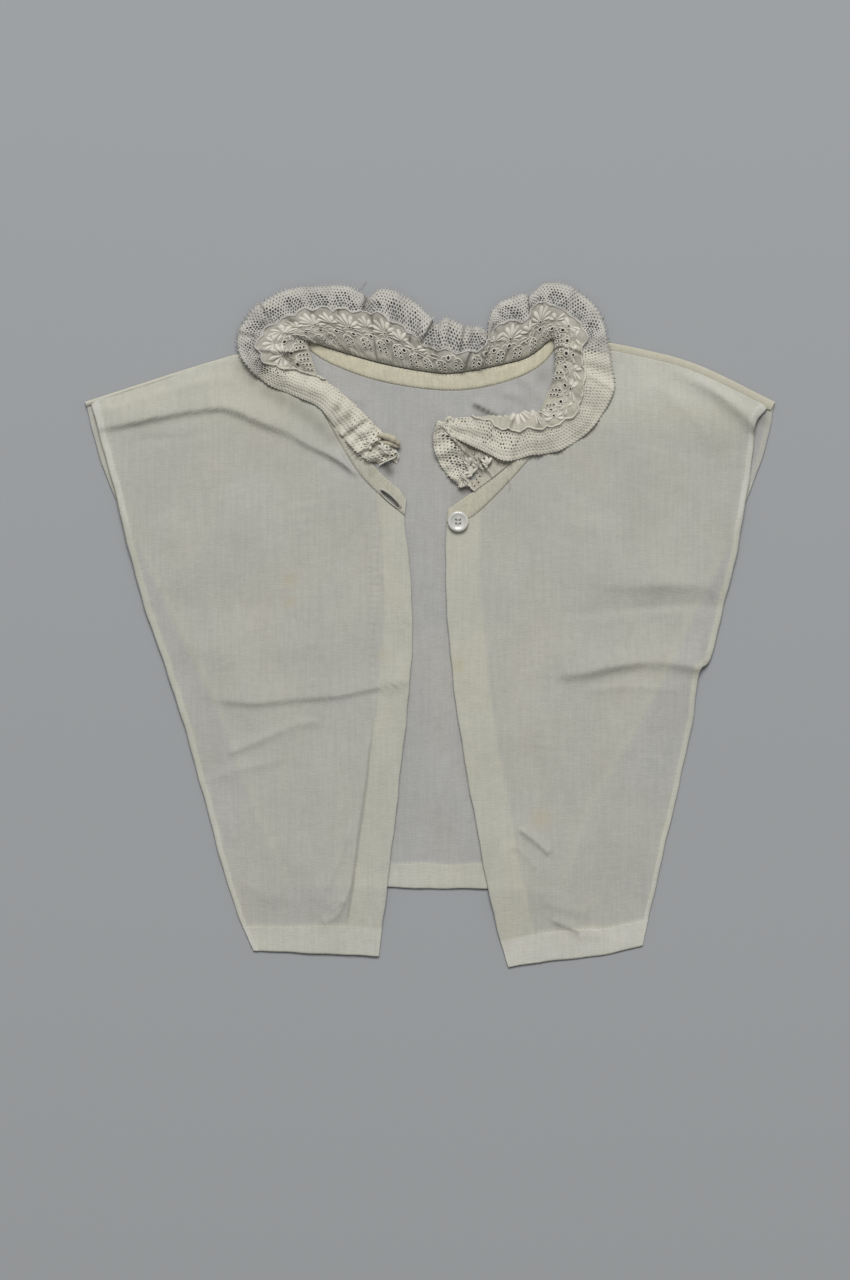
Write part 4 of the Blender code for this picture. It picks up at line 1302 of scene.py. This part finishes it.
def eyelet_rings(eyelets):
    """The stitched ring round each eyelet."""
    steps, sides = 10, 5
    around = (2 * math.pi * np.arange(steps) / steps)[None, :, None]
    section = (2 * math.pi * np.arange(sides) / sides)[None, None, :]
    place, far, hole, thread = (eyelets[:, k, None, None] for k in range(4))
    tight = frill.tightness(eyelets[:, 0], eyelets[:, 1])[:, None, None]
    reach = hole + thread + thread * np.cos(section)
    along = place + reach * np.cos(around) / tight
    out = np.maximum(far + reach * np.sin(around), 0)
    lift = base_lift(along, out) + 0.2 + thread * np.sin(section)
    return repeated(frill.point(along, out, lift), tube_faces(steps, sides, closed=True))


# how far along a petal each row of its points lies, how far across it, how full it is there, and its faces
PETAL_FAR = np.linspace(0, 1, 10)[:, None]
PETAL_SIDE = np.linspace(-1, 1, 7)[None, :]
PETAL_CROWN = np.clip(1 - PETAL_SIDE**2, 0, 1) ** 0.45
PETAL_CROWN = PETAL_CROWN * np.sin(math.pi * np.clip(PETAL_FAR, 0.03, 0.97)) ** 0.4
PETAL_FACES = quads(10, 7)


def petal_spread(middle, centre, angle, reach, width, tight):
    """(along, out) of a petal's points. reach is how far from the flower's middle each of its rows lies."""
    blunt = np.sqrt(np.clip(1 - (np.clip(PETAL_FAR - 0.66, 0, 1) / 0.34) ** 2, 0.01, 1))
    swell = width * (0.34 + 0.66 * smooth(PETAL_FAR / 0.6)) * blunt
    along = middle + (reach * np.sin(angle) + PETAL_SIDE * swell * np.cos(angle)) / tight
    return along, centre + reach * np.cos(angle) - PETAL_SIDE * swell * np.sin(angle)


def petals():
    """Padded satin petals: fans of seven over one flower, and of five over the next."""
    rows = []
    for middle, large, scale, shift_out in motifs():
        centre = (FLOWER_OUT if large else FLOWER_OUT + 1.0) * scale + shift_out
        for angle, start, length, width in LARGE_FLOWER if large else SMALL_FLOWER:
            angle = math.radians(angle)
            tip = centre + (start + length * scale) * math.cos(angle)
            if tip < frill.cord(middle) - 0.2:
                rows.append((middle, centre, angle, start, length * scale, width))
    table = np.array(rows)
    place, centre, angle, start, length, width = (table[:, k, None, None] for k in range(6))
    tight = frill.tightness(table[:, 0], table[:, 1] + 3)[:, None, None]
    along, out = petal_spread(place, centre, angle, start + length * PETAL_FAR, width, tight)
    out = np.minimum(out, frill.cord(along) + scallop(along) - 0.8)
    strands = 0.05 * np.sin(9 * math.pi * PETAL_SIDE + 6 * PETAL_FAR)
    lift = base_lift(along, out) - 0.12 + (0.95 + strands) * PETAL_CROWN
    return repeated(frill.point(along, out, lift), PETAL_FACES)


def crushed_flowers():
    """Flowers of the embroidery that show where the frill is crushed or folded."""
    parts = []
    for place, centre, turn, size in CRUSHED_FLOWERS:
        middle = np.interp(place, frill.place, frill.along)
        tight = float(frill.tightness(middle, centre))
        for angle, start, length, width in SMALL_FLOWER:
            angle, reach = math.radians(angle + turn), size * (start + length * PETAL_FAR)
            along, out = petal_spread(middle, centre, angle, reach, size * width, tight)
            above = np.sign(frill.up(along, out)[..., 2])
            lift = above * (np.abs(base_lift(along, out)) + 0.25 + 0.9 * PETAL_CROWN)
            parts.append(frill.point(along, out, lift))
    return repeated(np.array(parts), PETAL_FACES)


def folded_tip():
    """The plain cloth that is rolled over at the frill's first end."""
    parts = []
    for points, radius in TIP_ROLLS:
        line = spline(points, 12)
        share = np.linspace(0, 1, len(line))
        thick = radius * np.sin(math.pi * (0.1 + 0.8 * share)) * (1 + 0.1 * np.sin(share * 23))
        parts.append(tube(line, (0, 0, 1), thick, 12))
    points, faces = joined(parts)
    values = (("layers", np.ones(len(points))), ("marks", np.full(len(points), 0.3)))
    return piece("folded_tip", points, faces, lawn, values)


def stems():
    """Curved satin stems: a garland from each single eyelet to the next, and a loop under each block."""
    parts = []
    share = np.linspace(0, 1, 16)
    bow = np.sin(math.pi * share)
    turn = math.pi * (share - 0.5)
    for middle, large, scale, shift_out in motifs():
        lines = []
        for way in (-1, 1):
            along = middle + way * (0.9 + (REPEAT * 0.5 - 1.2) * share)
            garland = 1.5 * np.sin(math.pi * share**0.8) * (1 if large else 0.7)
            lines.append((along, (SINGLE_OUT + 1.6) * scale + garland))
            lines.append((along, (SINGLE_OUT + 0.2) * scale - 1.5 * share + 1.4 * bow))
        foot = (BLOCK_OUT + BLOCK_ROW) * scale + 4.2
        lines.append((middle + REPEAT / 2 + 3.1 * np.sin(turn), foot - 3.2 * (1 - np.cos(turn))))
        for along, out in lines:
            out = out + shift_out
            if along.min() < 16 or along.max() > frill.length - 1 or (frill.cord(along) - out < 0.8).any():
                continue
            line = frill.point(along, out, base_lift(along, out) + 0.1)
            parts.append(tube(line, frill.up(along, out), 0.2 + 0.22 * bow, 5))
    return joined(parts)


def scalloped_cord():
    """The corded edge of the embroidery: close buttonhole stitches over a thread."""
    along = np.linspace(0.2, frill.length - 0.2, int(frill.length / 0.3))
    out = frill.cord(along) + scallop(along)
    lift = base_lift(along, out) + 0.15 + 0.15 * np.sin(along / 1.3 + np.sin(along / 5.7))
    thick = 0.55 + 0.1 * np.sin(2 * math.pi * along / 0.9) + 0.1 * np.sin(along / 4.1)
    return tube(frill.point(along, out, lift), frill.up(along, out), thick, 7)


def edge_hems():
    """The narrow rolled hems at the two short ends of the frill."""
    parts = []
    for place in (0.0, frill.length):
        out = np.linspace(float(end_slant(place)), frill.edge(place), 40)
        along = np.full(40, place)
        lift = np.where(out > frill.cord(place), NET_LIFT + 0.1, base_lift(along, out) - 0.1)
        parts.append(tube(frill.point(along, out, lift), frill.up(along, out), 0.42, 6))
    return joined(parts)


def net_openness(along, share):
    """How open the net is: groups of open cells beside the cord, close work between them and at the edge."""
    closer = by_place(frill.where(frill.from_middle(along)), NET_OPEN)
    phase = np.abs(((along + 6 * share + 2.0 * np.sin(along / 19)) / LACE_REPEAT) % 1 - 0.5)
    reach = (phase / 0.46) ** 1.5 + (np.abs(share - 0.34) / 0.5) ** 1.5
    patchy = 1 + 0.3 * (1 - closer) * np.sin(along / 3.1 + 2 * np.sin(4 * share + along / 9))
    return closer * patchy * (0.40 - 0.16 * share + 0.26 * smooth((1.1 - reach) / 0.5))


def net_pleats(middle_along, share):
    """How far the net's pleats lift it, and painted shade on each one's steep side. The other side is gentle.
    """
    lift = 0.3 * np.sin(middle_along / 2.6 + 1.4 * np.sin(middle_along / 11.0))
    crumple = np.sin(middle_along / 2.1 + 1.9 * np.sin(5 * share)) * np.sin(7 * share + middle_along / 3.1)
    lift = lift + 1.5 * crush(frill.from_middle(middle_along)) * crumple
    dark = 0.0
    for middle, height, before, after in frill.pleats:
        away = middle_along - middle - 1.5 * (share - 0.5)
        lift = lift + height * np.exp(-np.abs(away / np.where(away < 0, before, after)) ** 1.6)
        steep = min(before, after)
        centre = -0.8 * before if before < after else 0.8 * after
        depth = 0.5 * min(height / steep / 3, 1)
        dark = dark + depth * np.exp(-(((away - centre) / (0.5 * steep + 0.4)) ** 2))
    return lift * smooth(share * 2.2 + 0.05), dark


def net_point(middle_along, share, lift):
    """A point of the net: share runs from 0 under the cord to 1 at the outer edge."""
    along = frill.from_middle(middle_along)
    inner = frill.cord(along) + scallop(along) - 0.5
    out = inner + share * (frill.edge(along) - inner)
    low = by_place(frill.where(along), NET_LOW)
    under = NET_LIFT + 0.75 * smooth(1 - share / 0.25) - low * smooth((share - 0.5) / 0.4)
    return frill.point(along, out, lift + under + net_pleats(middle_along, share)[0])


def net_lace():
    """A mesh of six-sided cells with real holes, drawn as one closed piece of thread."""
    columns = int(frill.middle[-1] / NET_PITCH)
    cell = np.array([frill.middle[-1] / columns, 1 / NET_ROWS])
    i, j = (index.ravel() for index in np.meshgrid(np.arange(columns), np.arange(NET_ROWS)))
    centre = np.column_stack([(i + 0.5 + 0.5 * (j % 2)) * cell[0], (j + 0.5) / NET_ROWS])
    cells = len(centre)
    reach = cell * [(0.5, 1 / 3), (0, 2 / 3), (-0.5, 1 / 3), (-0.5, -1 / 3), (0, -2 / 3), (0.5, -1 / 3)]
    uneven = by_place(frill.where(frill.from_middle(centre[:, 0])), NET_UNEVEN)
    hole = net_openness(centre[:, 0], centre[:, 1]) * (1 + uneven * (scatter(cells, 9) - 0.5))
    drift = 0.16 * (np.stack([scatter(cells, 7), scatter(cells, 8)], axis=1) - 0.5)
    outer = centre[:, None] + reach
    inner = centre[:, None] + reach * hole[:, None, None] + (drift * cell)[:, None]
    flat = np.concatenate([outer.reshape(-1, 2), inner.reshape(-1, 2)])
    height = np.repeat([NET_THREAD, NET_THIN], cells * 6)
    _, first, same = np.unique(np.round(flat, 4), axis=0, return_index=True, return_inverse=True)
    flat, height = flat[first], height[first]
    corner = np.arange(6)
    here = np.arange(cells)[:, None] * 6 + corner
    after = np.arange(cells)[:, None] * 6 + (corner + 1) % 6
    faces = np.stack([here, after, after + cells * 6, here + cells * 6], axis=-1).reshape(-1, 4)
    along, share = flat[:, 0], np.clip(flat[:, 1], 0, 1)
    points = np.concatenate([net_point(along, share, height), net_point(along, share, -height)])
    layers = beyond(frill.where(frill.from_middle(along)), NET_FRONTS)
    # painted shade in the frill's deep folds and on the steep sides of the net's pleats
    shade = darker(points[:, :2], FRILL_SHADE_SPOTS) + np.tile(net_pleats(along, share)[1], 2)
    values = (("layers", np.tile(layers, 2)), ("folds", np.clip(shade, 0, DARKEST)))
    return piece("net_cloth", points, closed_shell(same.reshape(-1)[faces], len(flat)), net_cotton, values)


def picots():
    """The tiny points along the lace's outer edge."""
    count = int(frill.middle[-1] / PICOT_PITCH)
    place = (np.arange(count) + 0.5) * frill.middle[-1] / count
    longer = by_place(frill.where(frill.from_middle(place)), PICOT_SIZE)
    length = PICOT_LENGTH * (0.7 + 0.6 * scatter(count, 3)) * longer
    lean = 0.6 * (scatter(count, 4) - 0.5)
    one, half = np.ones(count), np.full(count, 0.93)
    level = np.zeros(count)
    points = [
        net_point(place - 0.55, half, level), net_point(place + 0.55, half, level),
        net_point(place + lean * 0.3, half, level + 0.15), net_point(place + lean * 0.3, half, level - 0.15),
    ]
    way = unit(net_point(place, one, level) - net_point(place, one * 0.8, level))
    sideways = points[1] - points[0]
    points.append(net_point(place, one, level) + way * length[:, None] + sideways * lean[:, None])
    return repeated(np.stack(points, axis=1), PICOT_FACES)


def whipping():
    """The stitches that hold the net to the corded edge."""
    along = np.linspace(1, frill.length - 1, 900)
    out = frill.cord(along) + scallop(along) + 0.35
    line = frill.point(along, out, np.full(900, BASE_LIFT - 0.05))
    up = frill.up(along, out)
    count = int(lengths_along(line)[-1] / 1.5)
    steps = np.linspace(0, len(up) - 1, count + 1).astype(int)
    return stitches(line, up[steps], 1.5, 1.5, 0.16, slant=1.1)


def cut_out(made, bm, place, turn=0.0):
    """Cuts a shape out of an object, and leaves the object with no modifiers."""
    mesh = bpy.data.meshes.new("cutter")
    bm.to_mesh(mesh)
    bm.free()
    cutter = linked("cutter", mesh)
    cutter.location = place
    cutter.rotation_euler.z = turn
    made.modifiers.new("cut", "BOOLEAN").object = cutter
    bpy.context.view_layer.update()
    graph = bpy.context.evaluated_depsgraph_get()
    whole = bpy.data.meshes.new_from_object(made.evaluated_get(graph))
    whole.shade_smooth()
    whole.set_sharp_from_angle(angle=math.radians(50))
    made.modifiers.clear()
    made.data = whole
    bpy.data.objects.remove(cutter)


def button():
    """A four-hole pearl button with a raised rim and a dished middle."""
    radius, height = BUTTON_RADIUS, BUTTON_HEIGHT
    profile = spline(
        ((0, height * DISH), (radius * 0.42, height * (DISH + 0.01)), (radius * 0.58, height * 0.83),
         (radius * 0.7, height * 0.95), (radius * 0.82, height), (radius * 0.94, height * 0.9),
         (radius, height * 0.6), (radius * 0.96, height * 0.25),
         (radius * 0.8, 0.02), (radius * 0.4, 0), (0, 0)), 5,
    )
    mesh = bpy.data.meshes.new("pearl_button")
    points = [(max(r, 0) * MM, 0, z * MM) for r, z in profile]
    mesh.from_pydata(points, [(k, k + 1) for k in range(len(points) - 1)], [])
    mesh.materials.append(pearl)
    made = linked("pearl_button", mesh)
    made.location = in_metres((*BUTTON_PLACE, BUTTON_BASE))
    screw = made.modifiers.new("turn", "SCREW")
    screw.steps = screw.render_steps = 64
    screw.use_merge_vertices = True
    screw.merge_threshold = 0.00001
    bm = bmesh.new()
    bore = BUTTON_HOLE * MM
    for quarter in range(4):
        turn = math.radians(45 + 90 * quarter)
        hole = bmesh.ops.create_cone(
            bm, cap_ends=True, segments=20, radius1=bore, radius2=bore, depth=3 * height * MM
        )
        way = (math.cos(turn), math.sin(turn), 0)
        shift = in_metres(axis * BUTTON_HOLES_APART / 2 for axis in way)
        bmesh.ops.translate(bm, verts=hole["verts"], vec=shift)
    cut_out(made, bm, made.location)
    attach(made, "root")
    return made


def button_thread():
    """Two pairs of threads between the button's holes."""
    parts = []
    centre = np.array([*BUTTON_PLACE, BUTTON_BASE])
    share = np.linspace(-1, 1, 9)
    for side in (-1, 1):
        for shift in (-0.16, 0.16):
            x = share * BUTTON_HOLES_APART / 2 * 0.72
            y = np.full(9, side * BUTTON_HOLES_APART / 2 * 0.72 + shift)
            z = BUTTON_HEIGHT * DISH + 0.22 - 1.2 * np.abs(share) ** 6
            parts.append(tube(centre + np.column_stack([x, y, z]), (0, 0, 1), 0.16, 6))
    return joined(parts)


def buttonhole_edge():
    """The worked edge of the buttonhole: close stitches round an open slit."""
    turn = np.linspace(0, 2 * math.pi, 120, endpoint=False)
    x = (BUTTONHOLE_LENGTH / 2 + 0.25) * np.cos(turn)
    y = (BUTTONHOLE_WIDTH / 2 + 0.3) * np.sign(np.sin(turn)) * np.abs(np.sin(turn)) ** 0.8
    c, s = math.cos(BUTTONHOLE_TURN), math.sin(BUTTONHOLE_TURN)
    upper = smooth(np.sin(turn) + 0.5)
    lip = (0.1 + 0.9 * upper) * np.abs(np.sin(turn)) + 0.12 * np.sin(7 * turn)
    line = np.column_stack([
        BUTTONHOLE_PLACE[0] + c * x - s * y, BUTTONHOLE_PLACE[1] + s * x + c * y, LAYER + BAND + 0.1 + lip
    ])
    thick = 0.36 + 0.3 * upper + 0.06 * np.sin(turn * 40) + 0.08 * np.sin(3 * turn)
    return tube(line, (0, 0, 1), thick, 7, closed=True)


def cut_buttonhole(band):
    """Opens the slit through the band."""
    bm = bmesh.new()
    made = bmesh.ops.create_cone(bm, cap_ends=True, segments=40, radius1=MM, radius2=MM, depth=8 * MM)
    bmesh.ops.scale(bm, verts=made["verts"], vec=(BUTTONHOLE_LENGTH / 2, BUTTONHOLE_WIDTH / 2, 1))
    cut_out(band, bm, in_metres((*BUTTONHOLE_PLACE, LAYER)), BUTTONHOLE_TURN)


def loose_threads():
    """Short ends of thread that stand out from the lace and the neckband."""
    return joined([tube(spline(line, 10), (0.3, 0.2, 1), 0.13, 5) for line in THREAD_ENDS])


def cut_area(outline, *turned):
    """A panel's flat area in square metres: its outline, and each turned edge as (line, allowance)."""
    x, y = outline[:, 0], outline[:, 1]
    area = abs(np.sum(x * np.roll(y, -1) - np.roll(x, -1) * y)) / 2
    for line, allowance in turned:
        area += lengths_along(np.array(line, float))[-1] * allowance
    return area * MM * MM


def plain(colour):
    """The same colour at both ends of a ramp."""
    return ((0.0, colour), (1.0, colour))


def studio():
    """A pale floor, soft light from beyond the neck, and a camera that looks straight down."""
    world = bpy.data.worlds.new("soft light")
    bpy.context.scene.world = world
    world.use_nodes = True
    background = world.node_tree.nodes["Background"]
    background.inputs["Color"].default_value = (1, 1, 1, 1)
    background.inputs["Strength"].default_value = SKY_STRENGTH
    data = bpy.data.lights.new("key", "AREA")
    data.size = KEY_SIZE * MM
    data.energy = KEY_POWER
    key = linked("key", data)
    key.location = in_metres(KEY_PLACE)
    key.rotation_euler = key.location.to_track_quat("Z", "Y").to_euler()
    mesh = bpy.data.meshes.new("floor")
    sides = ((-1, -1), (1, -1), (1, 1), (-1, 1))
    corners = [in_metres((x * FLOOR_REACH, y * FLOOR_REACH, FLOOR_HEIGHT)) for x, y in sides]
    mesh.from_pydata(corners, [], [(0, 1, 2, 3)])
    mesh.materials.append(material("pale floor", (0.30, 0.31, 0.32), 0.85))
    linked("floor", mesh)
    bpy.context.scene.view_settings.view_transform = "Standard"
    data = bpy.data.cameras.new("camera")
    data.sensor_fit = "VERTICAL"
    data.sensor_height = SENSOR
    data.lens = SENSOR * CAMERA_HEIGHT / VIEW_LENGTH
    data.clip_end = 20
    camera = linked("camera", data)
    camera.location = in_metres((*VIEW_CENTRE, CAMERA_HEIGHT))
    bpy.context.scene.camera = camera


# The colours by how much cloth lies together: one layer, a front on the back, a facing on both, a hem.
BATISTE_STOPS = (
    (0.0, (0.352, 0.349, 0.336)), (0.35, (0.383, 0.378, 0.337)), (0.7, (0.424, 0.419, 0.356)),
    (1.0, (0.487, 0.480, 0.432)),
)
# Where the lace lies over the floor or the back, and where it lies on a front.
LAWN_STOPS = ((0.0, (0.32, 0.305, 0.27)), (1.0, (0.39, 0.37, 0.305)))
SATIN_STOPS = plain((0.56, 0.535, 0.465))
NET_STOPS = ((0.0, (0.43, 0.415, 0.375)), (1.0, (0.525, 0.505, 0.425)))
# The neckband's ends and its back.
TAPE_STOPS = ((0.0, (0.40, 0.39, 0.32)), (1.0, (0.48, 0.45, 0.342)))
SEWING_STOPS = plain((0.42, 0.41, 0.36))
batiste = cloth_material("batiste", BATISTE_STOPS, 0.0005, 14, 0.026)
lawn = cloth_material("embroidered cotton", LAWN_STOPS, 0.0004, 6, 0.05, rise=0.6)
tape = cloth_material("cream tape", TAPE_STOPS, 0.0006, 4, 0.05)
satin = thread_material("satin stitch", SATIN_STOPS, 0.0004, 0.3)
net_cotton = thread_material("net cotton", NET_STOPS, 0.0005, 0.2)
sewing = thread_material("sewing thread", SEWING_STOPS, 0.0004, 0.2)
pearl = pearl_material()

back_outline = closed_line(
    (BACK_BOTTOM, 1), (BACK_SIDE_LEFT, 1), (SHOULDER_LEFT, -1), (BACK_NECK, -1), (SHOULDER_RIGHT, -1),
    (BACK_SIDE_RIGHT, -1),
)
right_outline = closed_line(
    (RIGHT_HEM, 1), (RIGHT_CENTRE, 1), (SEAM_RIGHT_FRONT, 1), (SHOULDER_RIGHT, -1), (RIGHT_SIDE, -1)
)
left_outline = closed_line(
    (LEFT_HEM, -1), (LEFT_CENTRE, 1), (SEAM_LEFT_FRONT, -1), (SHOULDER_LEFT, 1), (LEFT_SIDE, -1)
)

back, back_stitches = back_panel()
fold_right = shoulder_turn("back_fold_right", SHOULDER_RIGHT, SEAM_RIGHT, 0.12)
fold_left = shoulder_turn("back_fold_left", SHOULDER_LEFT, SEAM_LEFT, 0.3)
right, right_stitches = front_panel(
    "right_cloth", RIGHT_SIDE, RIGHT_HEM, RIGHT_CENTRE, RIGHT_NECK, SHOULDER_RIGHT, SEAM_RIGHT, RIGHT_CREASES
)
left, left_stitches = front_panel(
    "left_cloth", LEFT_SIDE, LEFT_HEM, LEFT_CENTRE, LEFT_NECK, SHOULDER_LEFT, SEAM_LEFT, LEFT_CREASES
)

band_back, band_back_stitches = band_strip("tape_back", spline(BACK_NECK, 40), spline(SEAM_BACK, 40), 0, 1.0)
band_right, band_right_stitches = band_strip(
    "tape_right", first_part(spline(RIGHT_NECK, 40)[::-1], 0.72),
    first_part(np.vstack([BAND_CORNER, spline(SEAM_RIGHT_FRONT, 40)]), 0.75), LAYER, 0.1,
)
band_left, band_left_stitches = band_strip(
    "tape_left", first_part(spline(LEFT_NECK, 40)[::-1], 0.72),
    first_part(spline(SEAM_LEFT_FRONT, 40)[::-1], 0.75), LAYER, 0.25,
)
cut_buttonhole(band_right)

frill = Frill()
eyelets = eyelet_table()
frill_cloth = embroidered_base(eyelets)
rings = stitched("eyelet_rings", eyelet_rings(eyelets), satin)
satin_petals = stitched("satin_petals", petals(), satin)
satin_stems = stitched("satin_stems", stems(), satin)
crushed = piece("crushed_petals", *crushed_flowers(), satin)
tip = folded_tip()
cord = stitched("scalloped_cord", scalloped_cord(), net_cotton)
end_hems = piece("frill_end_hems", *edge_hems(), satin)
net = net_lace()
net_points = stitched("net_picots", picots(), net_cotton)
whips = stitched("whip_stitches", whipping(), sewing, smooth_faces=False)
pearl_button = button()
thread = piece("button_thread", *button_thread(), sewing)
worked = piece("buttonhole_edge", *buttonhole_edge(), sewing)
ends = piece("loose_threads", *loose_threads(), sewing)
hem_stitches = piece(
    "hem_stitches", *joined(back_stitches + right_stitches + left_stitches), sewing, smooth_faces=False
)
band_stitches = piece(
    "band_stitches", *joined(band_back_stitches + band_right_stitches + band_left_stitches), sewing,
    smooth_faces=False,
)

REPLACED = (
    (back, "batiste", "back"),
    (right, "batiste", "front_right"),
    (left, "batiste", "front_left"),
    (band_back, "tape", "neckband_back"),
    (band_right, "tape", "neckband_right"),
    (band_left, "tape", "neckband_left"),
    (frill_cloth, "embroidery", "frill_embroidery"),
    (net, "net", "frill_net"),
    (pearl_button, "pearl", "button"),
)
for made, slot, solid in REPLACED:
    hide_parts(solid)

cut_area(
        back_outline, (BACK_BOTTOM, BACK_HEM + TURNED_IN), (BACK_SIDE_RIGHT, SIDE_TURNED),
        (BACK_SIDE_LEFT, SIDE_TURNED),
    )
cut_area(
        right_outline, (RIGHT_HEM, FRONT_HEM + TURNED_IN), (RIGHT_SIDE, SIDE_TURNED), (RIGHT_CENTRE, FACING)
    )
cut_area(
        left_outline, (LEFT_HEM, FRONT_HEM + TURNED_IN), (LEFT_SIDE, SIDE_TURNED), (LEFT_CENTRE, FACING)
    )

studio()
